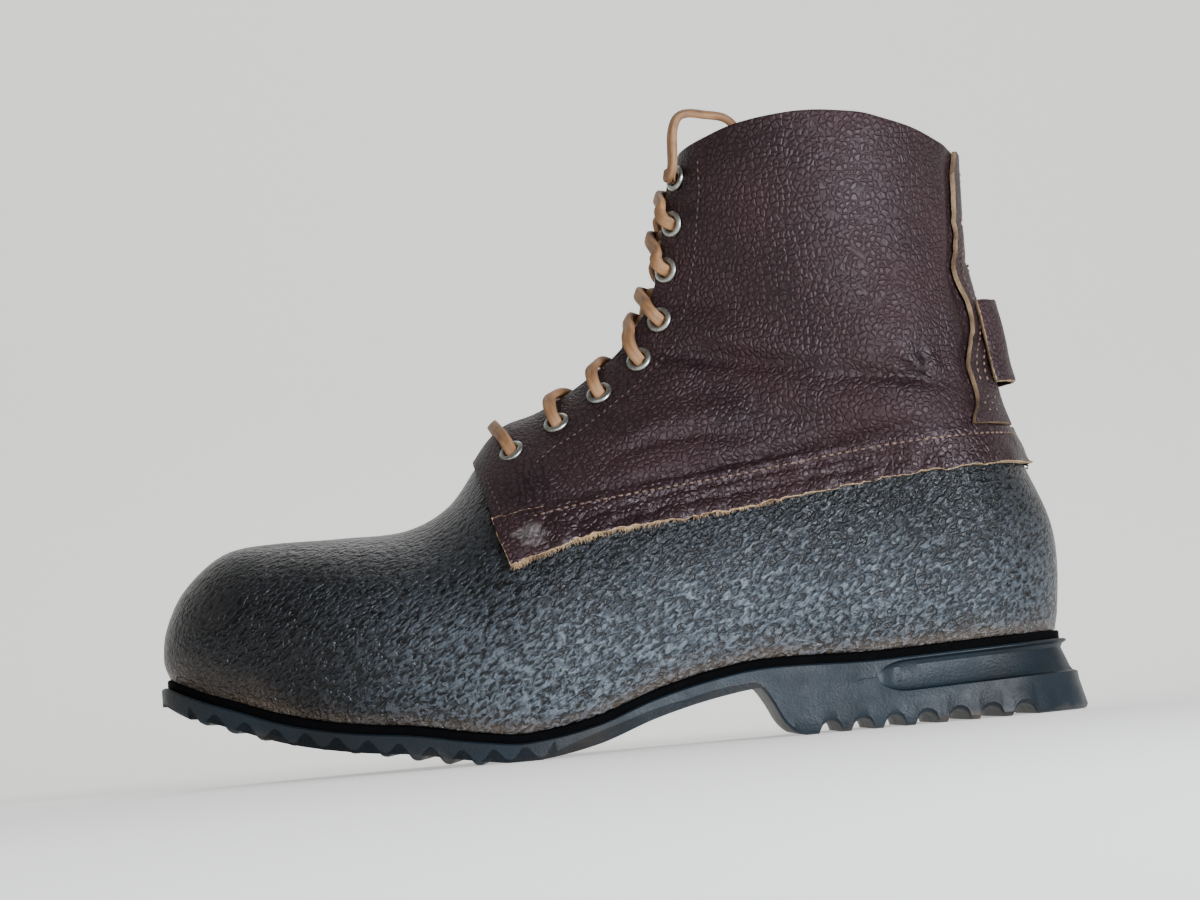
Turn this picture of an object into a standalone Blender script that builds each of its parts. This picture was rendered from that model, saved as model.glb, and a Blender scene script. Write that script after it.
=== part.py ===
"""Laced combat boot for the left foot: coated lower, leather shaft, moulded rubber sole.

Metres, +Z up. The toe points to -X, the wearer's left is -Y and the boot stands on z = 0.
Stations run from the toe tip of the outsole, and place_origin at the end moves everything
so that the origin is under the middle of the boot's box.
"""

import math
from collections import namedtuple

import bmesh
import bpy
import numpy as np
from mathutils import Matrix, Vector

# Main sizes of the boot
LENGTH = 0.300
BALL_WIDTH = 0.106
HEEL_SEAT = 0.0255
INSTEP = 0.0965
SHAFT_TOP = 0.198

# Walls, layers and clearances
CLEAR = 0.0003
UPPER_WALL = 0.0025
SHAFT_WALL = 0.0020
STRIP_WALL = 0.0016
STRIP_CLEAR = 0.0009
SEAT_CLEAR = 0.0004
JOINT_CLEAR = 0.0006
INSOLE_CLEAR = 0.0022
TONGUE_WALL = 0.0018
MIDSOLE_THICK = 0.0017
INSOLE_THICK = 0.0030

# Sole edge and tread
SOLE_MARGIN = 0.0030
MIDSOLE_INSET = 0.0008
HEEL_FLARE = 0.0050
TOOTH_DEPTH = 0.0042
HEEL_TOOTH_DEPTH = 0.0036
FORE_TEETH = 12
HEEL_TEETH = 7
# Round-topped notch between two heel teeth: share of the pitch, share of the depth
NOTCH = [(0.20, 0.00), (0.30, 0.75), (0.50, 1.00), (0.70, 0.75), (0.80, 0.00)]
GROOVE_DEPTH = 0.0020
GROOVE_HEIGHT = 0.0105
GROOVE_DROP = 0.0008

# Eyelets, lace and keeper loop
EYELET_RADIUS = 0.00435
EYELET_BORE = 0.0025
EYELET_SKIN = 0.0005
EYELET_RISE = 0.0008
EYELET_SEAT = 0.0007
EYELET_ROLL = 0.0009
LACE_RADIUS = 0.0020
LACE_CLEAR = 0.0009
KEEPER_HEIGHT = 0.0240
KEEPER_STAND = 0.0040

# Tongue: rows tucked under the vamp, rows short of the collar, turn of its edge
TONGUE_TUCK = 1.0
TONGUE_DROP = 0.15
TONGUE_EDGE = 0.74

# One row for each section of the last, from the toe tip to the collar. A section lies in the
# plane through its low point, on the feather line or up the back, and its top point, on the
# vamp or the throat. top_s, low_s: shares of LENGTH. lift: 0 at the feather, 1 at INSTEP,
# 2 at SHAFT_TOP. rise: 0 at the heel seat, 1 at SHAFT_TOP. outer, inner, ridge, gap: shares
# of BALL_WIDTH. belly: where the section is widest. foot: width at the low point against the
# widest. square: fullness of the top. arch: how far the edge curves up, share of SHAFT_TOP.
Section = namedtuple(
    "Section", "top_s lift low_s rise outer inner ridge belly foot square gap arch")
SECTIONS = [
    Section(0.010, 0.000, 0.010, 0.000, -.055, 0.055, 0.055, 0.25, 0.97, 2.20, 0.000, 0.000),
    Section(0.008, 0.133, 0.020, 0.000, 0.093, 0.205, 0.055, 0.25, 0.97, 2.20, 0.000, 0.000),
    Section(0.015, 0.331, 0.045, 0.000, 0.190, 0.305, 0.055, 0.27, 0.97, 2.25, 0.000, 0.000),
    Section(0.038, 0.547, 0.085, 0.000, 0.280, 0.383, 0.052, 0.29, 0.965, 2.30, 0.000, 0.000),
    Section(0.080, 0.713, 0.140, 0.000, 0.357, 0.438, 0.045, 0.31, 0.96, 2.30, 0.000, 0.000),
    Section(0.140, 0.759, 0.203, 0.000, 0.420, 0.471, 0.038, 0.32, 0.955, 2.25, 0.000, 0.000),
    Section(0.210, 0.766, 0.280, 0.000, 0.472, 0.486, 0.030, 0.32, 0.95, 2.15, 0.000, 0.000),
    Section(0.283, 0.782, 0.353, 0.000, 0.500, 0.476, 0.022, 0.31, 0.95, 2.05, 0.000, 0.000),
    Section(0.330, 0.858, 0.397, 0.000, 0.508, 0.453, 0.015, 0.30, 0.95, 1.95, 0.000, 0.000),
    Section(0.365, 1.000, 0.437, 0.000, 0.503, 0.430, 0.010, 0.30, 0.94, 1.90, 0.034, 0.000),
    Section(0.397, 1.108, 0.507, 0.000, 0.481, 0.396, 0.005, 0.30, 0.92, 1.90, 0.055, 0.000),
    Section(0.437, 1.163, 0.593, 0.000, 0.448, 0.358, 0.000, 0.30, 0.90, 1.90, 0.075, 0.000),
    Section(0.483, 1.246, 0.700, 0.000, 0.406, 0.330, -.006, 0.30, 0.90, 1.95, 0.085, 0.000),
    Section(0.520, 1.330, 0.817, 0.000, 0.373, 0.324, -.010, 0.30, 0.91, 2.00, 0.092, 0.000),
    Section(0.543, 1.429, 0.910, 0.000, 0.354, 0.325, -.010, 0.30, 0.82, 2.00, 0.097, 0.000),
    Section(0.552, 1.478, 0.955, 0.000, 0.349, 0.325, -.010, 0.30, 0.53, 2.00, 0.100, 0.000),
    Section(0.555, 1.502, 0.969, 0.000, 0.347, 0.325, -.010, 0.31, 0.26, 2.00, 0.101, 0.000),
    Section(0.558, 1.527, 0.9733, 0.000, 0.346, 0.325, -.010, 0.32, 0.00, 2.00, 0.102, 0.000),
    Section(0.567, 1.606, 0.981, 0.107, 0.342, 0.325, -.010, 0.34, 0.00, 2.00, 0.105, 0.000),
    Section(0.573, 1.685, 0.978, 0.200, 0.340, 0.325, -.010, 0.37, 0.00, 2.00, 0.108, 0.000),
    Section(0.580, 1.754, 0.955, 0.322, 0.340, 0.328, -.008, 0.41, 0.00, 2.05, 0.111, 0.003),
    Section(0.587, 1.813, 0.933, 0.438, 0.344, 0.335, -.006, 0.45, 0.00, 2.05, 0.114, 0.008),
    Section(0.593, 1.852, 0.923, 0.559, 0.349, 0.344, -.004, 0.48, 0.00, 2.10, 0.117, 0.016),
    Section(0.600, 1.892, 0.910, 0.722, 0.354, 0.354, 0.000, 0.50, 0.00, 2.10, 0.120, 0.030),
    Section(0.607, 1.921, 0.913, 0.913, 0.358, 0.358, 0.000, 0.50, 0.00, 2.10, 0.123, 0.055),
]
THROAT_ROW = 9
HEEL_ROW = 17
LAST_ROW = len(SECTIONS) - 1

# Side lines: station as a share of LENGTH, height as a share of the named size
# Feather line, where upper meets sole, against HEEL_SEAT
FEATHER = [(0.010, 1.431), (0.050, 1.230), (0.090, 1.060), (0.135, 0.865), (0.173, 0.745),
           (0.225, 0.630), (0.280, 0.550), (0.350, 0.395), (0.397, 0.338), (0.470, 0.470),
           (0.533, 0.720), (0.593, 0.890), (0.653, 0.980), (0.760, 0.955), (0.867, 0.985),
           (0.970, 1.020)]
# Ground side of the sole, tooth tips in the forefoot, against HEEL_SEAT
TREAD = [(0.000, 1.140), (0.033, 0.910), (0.067, 0.745), (0.100, 0.615), (0.133, 0.500),
         (0.167, 0.410), (0.200, 0.320), (0.233, 0.250), (0.267, 0.165), (0.300, 0.085),
         (0.330, 0.020), (0.355, 0.000), (0.412, 0.000), (0.440, 0.120), (0.470, 0.250),
         (0.500, 0.355), (0.533, 0.470), (0.567, 0.550), (0.600, 0.630), (0.635, 0.665)]
# Joint of upper and shaft, then the lower and upper edge of the seam band, against INSTEP
JOINT = [(0.380, 0.700), (0.483, 0.770), (0.640, 0.815), (0.827, 0.885), (0.980, 0.890)]
BAND_LOW = [(0.380, 0.600), (0.400, 0.625), (0.480, 0.700), (0.637, 0.748), (0.827, 0.818),
            (0.980, 0.830)]
BAND_TOP = [(0.380, 0.775), (0.483, 0.830), (0.640, 0.882), (0.813, 0.943), (0.980, 0.950)]
# Front edges of the backstay: height from INSTEP (0) to SHAFT_TOP (1), station of the edge
BACKSTAY_LEFT = [(-0.10, 0.892), (0.05, 0.900), (0.27, 0.905), (0.56, 0.897), (0.80, 0.898),
                 (1.00, 0.902)]
BACKSTAY_RIGHT = [(-0.10, 0.886), (0.05, 0.888), (0.27, 0.884), (0.56, 0.876), (0.80, 0.878),
                  (1.00, 0.882)]

# Places along the boot, shares of LENGTH
FORE_TEETH_SPAN = (0.0373, 0.4273)
HEEL_TEETH_SPAN = (0.697, 0.933)
HEEL_BREAST = [(0.645, 0.620), (0.656, 0.420), (0.666, 0.180), (0.677, 0.040), (0.688, 0.000)]
GROOVE_START = 0.768
GROOVE_FULL = 0.787
# Steps in from both round ends of a plate
END_STEPS = (0.0, 0.002, 0.0073, 0.0167, 0.030)

# Eyelets up one side: station as a share of LENGTH, lift as in the sections
EYELETS = [(0.4067, 1.015), (0.4567, 1.094), (0.5053, 1.177), (0.5513, 1.274),
           (0.5773, 1.397), (0.5897, 1.556), (0.6007, 1.700), (0.6093, 1.844)]

# Route of the free lace end from the top eyelet: station, side and lift
LACE_END_ROUTE = [(0.5985, -.182, 1.854), (0.6024, -.201, 1.856), (0.6053, -.212, 1.877),
                  (0.6067, -.214, 1.925), (0.6087, -.209, 1.985), (0.6150, -.202, 2.030),
                  (0.6267, -.194, 2.045), (0.6450, -.191, 2.036), (0.6650, -.185, 2.022),
                  (0.6767, -.174, 1.990), (0.6843, -.165, 1.931), (0.6867, -.160, 1.862),
                  (0.6867, -.160, 1.803)]


def clear_scene():
    for item in list(bpy.data.objects):
        bpy.data.objects.remove(item, do_unlink=True)


def clamp(value, low, high):
    return max(low, min(high, value))


def through(values, place):
    """Smooth value at a place among evenly numbered values (Catmull-Rom)."""
    last = len(values) - 1
    first = clamp(int(place), 0, last - 1)
    share = place - first
    before, here = values[max(first - 1, 0)], values[first]
    after, beyond = values[first + 1], values[min(first + 2, last)]
    cubic = 3.0 * (here - after) + beyond - before
    square = 2.0 * before - 5.0 * here + 4.0 * after - beyond
    return here + 0.5 * share * (after - before + share * (square + share * cubic))


def along(line, place):
    """Smooth height of a side line at a place, with slopes from its neighbours."""
    places = [point[0] for point in line]
    values = [point[1] for point in line]
    last = len(line) - 1
    if place <= places[0]:
        return values[0]
    if place >= places[last]:
        return values[last]
    first = max(i for i in range(last) if places[i] <= place)

    def slope(i):
        low, high = max(i - 1, 0), min(i + 1, last)
        return (values[high] - values[low]) / (places[high] - places[low])

    span = places[first + 1] - places[first]
    t = (place - places[first]) / span
    return ((2 * t**3 - 3 * t**2 + 1) * values[first]
            + (t**3 - 2 * t**2 + t) * span * slope(first)
            + (3 * t**2 - 2 * t**3) * values[first + 1]
            + (t**3 - t**2) * span * slope(first + 1))


def feather_height(station):
    return along(FEATHER, station / LENGTH) * HEEL_SEAT


def lift_height(lift, base):
    if lift <= 1.0:
        return base + lift * (INSTEP - base)
    return INSTEP + (lift - 1.0) * (SHAFT_TOP - INSTEP)


def section_at(row):
    return Section(*(through([part[k] for part in SECTIONS], row)
                     for k in range(len(Section._fields))))


def skin(row, side, turn, open_throat=True):
    """Point on the outside of the last. side is -1 on the left and 1 on the right.

    turn runs from 0 at the feather or the back to 1 at the ridge or the facing's edge."""
    part = section_at(row)
    base = feather_height(part.low_s * LENGTH)
    low = Vector((part.low_s * LENGTH, 0.0, base + max(part.rise, 0.0) * (SHAFT_TOP - base)))
    top = Vector((part.top_s * LENGTH, 0.0, lift_height(part.lift, base)))
    ridge = part.ridge * BALL_WIDTH
    reach = (part.outer + part.ridge if side < 0 else part.inner - part.ridge) * BALL_WIDTH
    reach = max(reach, 0.0)
    widest_turn = 0.40
    if turn < widest_turn:
        foot = clamp(part.foot, 0.0, 0.985)
        flat = math.sqrt(1.0 - foot * foot)
        angle = math.asin(flat) * (1.0 - turn / widest_turn)
        share = part.belly * (1.0 - math.sin(angle) / flat)
        width = math.cos(angle)
    else:
        last_angle = math.pi / 2
        if open_throat and part.gap > 0.001 and row > THROAT_ROW:
            half_gap = (part.gap * BALL_WIDTH) / reach
            last_angle = math.acos(half_gap ** (part.square / 2.0))
        angle = last_angle * (turn - widest_turn) / (1.0 - widest_turn)
        share = part.belly + (1.0 - part.belly) * math.sin(angle) ** (2.0 / part.square)
        width = max(math.cos(angle), 0.0) ** (2.0 / part.square)
    point = low.lerp(top, share)
    point.y = ridge + side * reach * width
    point.z += part.arch * SHAFT_TOP * 4.0 * share * (1.0 - share)
    return point


def skin_normal(row, side, turn):
    step = 0.02
    along_row = (skin(min(row + step, LAST_ROW), side, turn, False)
                 - skin(row - step, side, turn, False))
    up = (skin(row, side, min(turn + step, 1.0), False)
          - skin(row, side, max(turn - step, 0.0), False))
    return (along_row.cross(up) * -side).normalized()


def turn_where(row, side, test, open_throat=True):
    """Turn on a section where test(point) goes from negative to positive."""
    low, high = 0.0, 1.0
    if test(skin(row, side, low, open_throat)) >= 0.0:
        return 0.0
    if test(skin(row, side, high, open_throat)) <= 0.0:
        return 1.0
    for _ in range(30):
        middle = (low + high) / 2
        if test(skin(row, side, middle, open_throat)) < 0.0:
            low = middle
        else:
            high = middle
    return (low + high) / 2


def row_where(side, turn, test, first, last):
    """Row between two rows where test(point) goes from negative to positive."""
    low, high = first, last
    for _ in range(30):
        middle = (low + high) / 2
        if test(skin(middle, side, turn, False)) < 0.0:
            low = middle
        else:
            high = middle
    return (low + high) / 2


def above(line, size, extra=0.0):
    """Test that is positive above a side line."""
    return lambda point: point.z - along(line, point.x / LENGTH) * size - extra


def sheet(rows, bounds, columns):
    """Open mesh over both sides of the last, between two turns of each row."""
    mesh = bmesh.new()
    feather = mesh.verts.layers.int.new("feather")
    for side in (-1, 1):
        grid = []
        for row in rows:
            low, high = bounds(row, side)
            line = []
            for column in range(columns + 1):
                turn = low + (high - low) * column / columns
                vertex = mesh.verts.new(skin(row, side, turn))
                vertex[feather] = int(turn == 0.0 and row <= HEEL_ROW)
                line.append(vertex)
            grid.append(line)
        add_grid(mesh, grid, flip=side > 0)
    return tidy_sheet(mesh)


def add_grid(mesh, grid, flip=False):
    for first, second in zip(grid, grid[1:]):
        for k in range(len(first) - 1):
            face = [first[k], second[k], second[k + 1], first[k + 1]]
            mesh.faces.new(face[::-1] if flip else face)


def tidy_sheet(mesh):
    bmesh.ops.remove_doubles(mesh, verts=mesh.verts[:], dist=2e-5)
    bmesh.ops.dissolve_degenerate(mesh, dist=1e-6, edges=mesh.edges[:])
    mesh.normal_update()
    return mesh


def thicken(mesh, outward, inward):
    """Closed solid between two offsets of an open sheet."""
    feather = mesh.verts.layers.int.get("feather")
    solid = bmesh.new()
    layers = []
    for offset in (outward, inward):
        layer = {}
        for vertex in mesh.verts:
            normal = vertex.normal.copy()
            on_feather = feather is not None and vertex[feather]
            if on_feather:
                normal.z = 0.0
                normal.normalize()
            point = vertex.co + normal * offset
            if on_feather:
                point.z = feather_height(point.x)
            layer[vertex] = solid.verts.new(point)
        layers.append(layer)
    outer, inner = layers
    for face in mesh.faces:
        solid.faces.new([outer[v] for v in face.verts])
        solid.faces.new([inner[v] for v in reversed(face.verts)])
    for edge in mesh.edges:
        if len(edge.link_faces) == 1:
            loop = edge.link_loops[0]
            a, b = loop.vert, loop.link_loop_next.vert
            solid.faces.new([outer[b], outer[a], inner[a], inner[b]])
    mesh.free()
    return solid


def paint(name, colour, roughness, metallic=0.0):
    material = bpy.data.materials.new(name)
    material.use_nodes = True
    shader = material.node_tree.nodes["Principled BSDF"]
    linear = [(int(colour[i:i + 2], 16) / 255.0) ** 2.2 for i in (1, 3, 5)]
    shader.inputs["Base Color"].default_value = (*linear, 1.0)
    shader.inputs["Roughness"].default_value = roughness
    shader.inputs["Metallic"].default_value = metallic
    material.diffuse_color = (*linear, 1.0)
    return material


def make_object(name, mesh, material):
    data = bpy.data.meshes.new(name)
    mesh.to_mesh(data)
    mesh.free()
    data.shade_smooth()
    data.set_sharp_from_angle(angle=math.radians(35))
    data.materials.append(material)
    item = bpy.data.objects.new(name, data)
    bpy.context.scene.collection.objects.link(item)
    return item


def hide_cutter(item):
    item.hide_render = True
    item.display_type = "WIRE"


def combine(item, tool, operation):
    modifier = item.modifiers.new(operation.title(), "BOOLEAN")
    modifier.operation = operation
    modifier.object = tool
    modifier.solver = "EXACT"
    hide_cutter(tool)


def spread(first, last, count):
    return [first + (last - first) * i / count for i in range(count + 1)]


def crowd(first, last, count):
    """Like spread, but closer toward the last, where a strip's edge meets the back."""
    return [last - (last - first) * (1.0 - i / count) ** 2 for i in range(count + 1)]


# Upper, shaft and the strips on them

def side_rows_from(first):
    """Rows from the throat to the heel, shared by upper, shaft and seam band."""
    even = spread(THROAT_ROW, HEEL_ROW - 4, 2 * (HEEL_ROW - THROAT_ROW - 4))
    return [first] + even[1:] + spread(HEEL_ROW - 4, HEEL_ROW, 10)[1:]


def leg_rows(first):
    """Rows up the leg from a first one, shared by the shaft and the backstay."""
    even = spread(HEEL_ROW, LAST_ROW, 2 * (LAST_ROW - HEEL_ROW))
    return [first] + [row for row in even if row > first + 0.1]


def joint_turn(row, side, extra=0.0):
    return turn_where(row, side, above(JOINT, INSTEP, extra))


def back_row(line, size):
    """Row whose back point lies on a side line."""
    return row_where(-1, 0.0, above(line, size), HEEL_ROW, LAST_ROW)


def build_upper(material):
    """Coated lower: full sections to the throat, then up to the joint and round the heel."""
    split = {side: joint_turn(THROAT_ROW, side) for side in (-1, 1)}
    joint_back = back_row(JOINT, INSTEP)
    vamp_rows = spread(0, 3, 6) + spread(3, THROAT_ROW, 8)[1:]
    side_rows = side_rows_from(THROAT_ROW) + crowd(HEEL_ROW, joint_back, 6)[1:]
    mesh = bmesh.new()
    feather = mesh.verts.layers.int.new("feather")

    def block(rows, low_turn, high_turn, columns):
        for side in (-1, 1):
            grid = []
            for row in rows:
                low, high = low_turn(row, side), high_turn(row, side)
                line = []
                for column in range(columns + 1):
                    turn = low + (high - low) * column / columns
                    vertex = mesh.verts.new(skin(row, side, turn))
                    vertex[feather] = int(turn == 0.0 and row <= HEEL_ROW)
                    line.append(vertex)
                grid.append(line)
            add_grid(mesh, grid, flip=side > 0)

    block(vamp_rows, lambda row, side: 0.0, lambda row, side: split[side], 5)
    block(vamp_rows, lambda row, side: split[side], lambda row, side: 1.0, 4)
    block(side_rows, lambda row, side: 0.0, joint_turn, 5)
    solid = thicken(tidy_sheet(mesh), 0.0, -UPPER_WALL)
    return make_object("upper", solid, material)


def build_shaft(material):
    """Leather leg from the joint to the collar, its facings apart along the throat."""
    joint_back = back_row(JOINT, INSTEP)
    gap_rows = 0.03
    rows = (side_rows_from(THROAT_ROW + gap_rows) + crowd(HEEL_ROW, joint_back, 6)[1:]
            + leg_rows(joint_back)[1:])

    def bounds(row, side):
        low = joint_turn(row, side, JOINT_CLEAR) if row <= joint_back + 0.1 else 0.0
        return low, 1.0

    solid = thicken(sheet(rows, bounds, 10), 0.0, -SHAFT_WALL)
    return make_object("shaft", solid, material)


def build_band(material):
    """Strip over the joint, from the throat on one side round the heel to the other."""
    low_back = back_row(BAND_LOW, INSTEP)
    top_back = back_row(BAND_TOP, INSTEP)
    front = THROAT_ROW + 0.05
    rows = side_rows_from(front) + crowd(HEEL_ROW, low_back, 6)[1:]
    rows += crowd(low_back, top_back, 4)[1:]

    def bounds(row, side):
        low = turn_where(row, side, above(BAND_LOW, INSTEP)) if row < low_back else 0.0
        return low, turn_where(row, side, above(BAND_TOP, INSTEP))

    solid = thicken(sheet(rows, bounds, 3), STRIP_CLEAR + STRIP_WALL, STRIP_CLEAR)
    return make_object("seam_band", solid, material)


def behind_edge(side):
    """Test that is positive in front of the backstay's edge."""
    line = BACKSTAY_LEFT if side < 0 else BACKSTAY_RIGHT

    def test(point):
        place = (point.z - INSTEP) / (SHAFT_TOP - INSTEP)
        return along(line, place) * LENGTH - point.x
    return test


def build_backstay(material):
    """Strip up the back of the shaft, from the seam band to the collar."""
    gap = STRIP_WALL
    low_back = back_row(BAND_TOP, INSTEP)
    start = row_where(-1, 0.0, above(BAND_TOP, INSTEP, gap), low_back, LAST_ROW)
    first = start - 0.35
    rows = spread(first, start, 3) + leg_rows(start)[1:]

    def bounds(row, side):
        low = turn_where(row, side, above(BAND_TOP, INSTEP, gap))
        high = turn_where(row, side, behind_edge(side))
        return low, max(low, high)

    solid = thicken(sheet(rows, bounds, 3), STRIP_CLEAR + STRIP_WALL, STRIP_CLEAR)
    return make_object("backstay", solid, material)


def level_point(height, side, turn):
    """Row on the skin at a height, near the back of the leg."""
    row = row_where(side, turn, lambda point: point.z - height, HEEL_ROW, LAST_ROW)
    return skin(row, side, turn, False), skin_normal(row, side, max(turn, 0.02))


def build_keeper(material):
    """Small loop across the backstay, standing off it in the middle."""
    middle = INSTEP + 0.24 * (SHAFT_TOP - INSTEP)
    reach = 0.09
    steps = 10
    under = STRIP_CLEAR + STRIP_WALL + STRIP_CLEAR
    mesh = bmesh.new()
    layers = []
    for extra in (STRIP_WALL, 0.0):
        layer = []
        for k in range(steps + 1):
            across = 2.0 * k / steps - 1.0
            side = -1 if across < 0 else 1
            stand = KEEPER_STAND * (1.0 - across * across)
            line = []
            for height in (middle - KEEPER_HEIGHT / 2, middle, middle + KEEPER_HEIGHT / 2):
                point, normal = level_point(height, side, abs(across) * reach)
                normal.z = 0.0
                normal.normalize()
                if k * 2 == steps:
                    normal = Vector((1.0, 0.0, 0.0))
                line.append(mesh.verts.new(point + normal * (under + stand + extra)))
            layer.append(line)
        layers.append(layer)
    outer, inner = layers
    add_grid(mesh, outer)
    add_grid(mesh, inner, flip=True)
    ring_outer = outer[0] + [line[-1] for line in outer[1:]] + outer[-1][-2::-1]
    ring_outer += [line[0] for line in outer[-2:0:-1]]
    ring_inner = inner[0] + [line[-1] for line in inner[1:]] + inner[-1][-2::-1]
    ring_inner += [line[0] for line in inner[-2:0:-1]]
    for k in range(len(ring_outer)):
        after = (k + 1) % len(ring_outer)
        mesh.faces.new([ring_outer[k], ring_outer[after], ring_inner[after], ring_inner[k]])
    bmesh.ops.recalc_face_normals(mesh, faces=mesh.faces[:])
    return make_object("keeper_loop", mesh, material)


def build_tongue(material):
    """Sheet behind the throat, seated under the vamp and clear of the lace above."""
    seated = UPPER_WALL + 2.0 * CLEAR
    sunk = SHAFT_WALL + 2.0 * LACE_RADIUS + 3.0 * CLEAR
    first_row = THROAT_ROW - TONGUE_TUCK
    rows = spread(first_row, LAST_ROW - TONGUE_DROP, 14)
    mesh = bmesh.new()
    for side in (-1, 1):
        grid = []
        for row in rows:
            share = clamp((row - first_row - 0.5) / TONGUE_TUCK, 0.0, 1.0)
            depth = seated + (sunk - seated) * share
            edge = TONGUE_EDGE - 0.04 * (row - rows[0]) / (rows[-1] - rows[0])
            line = []
            for turn in spread(edge, 1.0, 4):
                on_ridge = turn > 0.999
                normal = skin_normal(row, -1 if on_ridge else side, turn)
                if on_ridge:
                    normal.y = 0.0
                line.append(mesh.verts.new(skin(row, side, turn, False) - normal * depth))
            grid.append(line)
        add_grid(mesh, grid, flip=side > 0)
    solid = thicken(tidy_sheet(mesh), 0.0, -TONGUE_WALL)
    return make_object("tongue", solid, material)


# Soles

def feather_edge(side):
    """Samples of the feather line in plan: stations, sides and outward directions."""
    count = HEEL_ROW * 12
    points = [skin(HEEL_ROW * i / count, side, 0.0) for i in range(count + 1)]
    stations = np.array([point.x for point in points])
    sides = np.array([point.y for point in points])
    run = np.gradient(stations)
    turn = np.gradient(sides)
    size = np.hypot(run, turn)
    out = np.stack([-side * turn / size, side * run / size], axis=1)
    out[0] = (-1.0, 0.0)
    out[-1] = (1.0, 0.0)
    return stations, sides, out


def edge_point(edge, margin, station, extra=0.0):
    """Plan point on the outline at a station, moved out by extra."""
    stations, sides, out = edge
    line = stations + out[:, 0] * margin
    places = np.arange(len(line), dtype=float)
    place = float(np.interp(station, line, places))
    values = [float(np.interp(place, places, array))
              for array in (stations, sides, out[:, 0], out[:, 1])]
    scale = math.hypot(values[2], values[3])
    reach = (margin + extra) / scale
    return values[0] + values[2] * reach, values[1] + values[3] * reach


def slab(name, material, margin, stations, levels):
    """Solid under the foot: levels(station) lists (extra, height) down its side."""
    mesh = bmesh.new()
    edges = {side: feather_edge(side) for side in (-1, 1)}
    rings = []
    for station in stations:
        profile = levels(station)
        ring = []
        for side in (-1, 1):
            line = [Vector((*edge_point(edges[side], margin, station, extra), height))
                    for extra, height in profile]
            ring += line if side < 0 else line[::-1]
        rings.append([mesh.verts.new(point) for point in ring])
    for first, second in zip(rings, rings[1:]):
        for k in range(len(first)):
            after = (k + 1) % len(first)
            mesh.faces.new([first[k], first[after], second[after], second[k]])
    bmesh.ops.remove_doubles(mesh, verts=mesh.verts[:], dist=2e-5)
    bmesh.ops.recalc_face_normals(mesh, faces=mesh.faces[:])
    return make_object(name, mesh, material)


def tips(margin):
    """First and last station of an outline with a margin round the feather line."""
    edge = feather_edge(-1)
    return edge[0][0] - margin, edge[0][-1] + margin


def plain_stations(first, last):
    """Stations that are close at both round ends and even between."""
    nose = [first + step * LENGTH for step in END_STEPS + (0.05, 0.08)]
    even = spread(0.115 * LENGTH, 0.885 * LENGTH, 27)
    heel = [last - step * LENGTH for step in END_STEPS + (0.05,)]
    return nose + even + heel[::-1]


def sole_top(station):
    return feather_height(station) - SEAT_CLEAR - CLEAR - MIDSOLE_THICK


def tread_height(station):
    return max(along(TREAD, station / LENGTH), 0.0) * HEEL_SEAT


def tread_line(nose, last):
    """Stations and heights of the ground side, with the teeth of forefoot and heel."""
    start, end = (share * LENGTH for share in FORE_TEETH_SPAN)
    ends = [nose + step * LENGTH for step in END_STEPS]
    points = [(station, tread_height(station)) for station in ends if station < start]
    pitch = (end - start) / FORE_TEETH
    for k in range(FORE_TEETH):
        first = start + k * pitch
        tip = tread_height(first + pitch / 2)
        root = tread_height(first) + TOOTH_DEPTH
        points += [(first, root), (first + 0.38 * pitch, tip), (first + 0.62 * pitch, tip)]
    points.append((end, tread_height(end) + TOOTH_DEPTH))
    for share in (0.470, 0.510, 0.550, 0.590, 0.625):
        points.append((share * LENGTH, tread_height(share * LENGTH)))
    points += [(share * LENGTH, height * HEEL_SEAT) for share, height in HEEL_BREAST]
    start, end = (share * LENGTH for share in HEEL_TEETH_SPAN)
    pitch = (end - start) / HEEL_TEETH
    for k in range(HEEL_TEETH):
        first = start + k * pitch
        points += [(first + share * pitch, depth * HEEL_TOOTH_DEPTH) for share, depth in NOTCH]
    points += [(last - step * LENGTH, 0.0) for step in END_STEPS]
    return points


def build_outsole(material):
    """Moulded sole and heel with toe spring, arch, breast, teeth and heel groove."""
    nose, last = tips(SOLE_MARGIN)
    ground = tread_line(nose, last)
    for share in (GROOVE_START, GROOVE_FULL):
        ground.append((share * LENGTH, None))
    ground.sort(key=lambda point: point[0])
    known = [point for point in ground if point[1] is not None]
    heights = {station: float(np.interp(station, *zip(*known))) for station, _ in ground}
    breast = HEEL_BREAST[0][0] * LENGTH

    def levels(station):
        top, bottom = sole_top(station), heights[station]
        back = clamp((station - breast) / (last - breast), 0.0, 1.0)
        flare = HEEL_FLARE * back * back
        depth = GROOVE_DEPTH if station > GROOVE_FULL * LENGTH - 1e-6 else 0.0
        if station < GROOVE_START * LENGTH - 1e-6:
            upper = lower = top
            lean = 0.0
        else:
            upper = top - GROOVE_DROP
            lower = upper - GROOVE_HEIGHT
            lean = flare * (top - lower) / top
        return [(0.0, top), (0.0, upper), (-0.5 * depth, upper - 0.3 * depth),
                (lean - depth, lower + 0.3 * depth), (lean, lower), (flare, bottom)]

    return slab("outsole", material, SOLE_MARGIN, [point[0] for point in ground], levels)


def build_midsole(material):
    """Thin rubber band between the upper and the outsole."""
    margin = SOLE_MARGIN - MIDSOLE_INSET

    def levels(station):
        top = feather_height(station) - SEAT_CLEAR
        return [(0.0, top), (0.0, top - MIDSOLE_THICK)]

    return slab("midsole", material, margin, plain_stations(*tips(margin)), levels)


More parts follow.
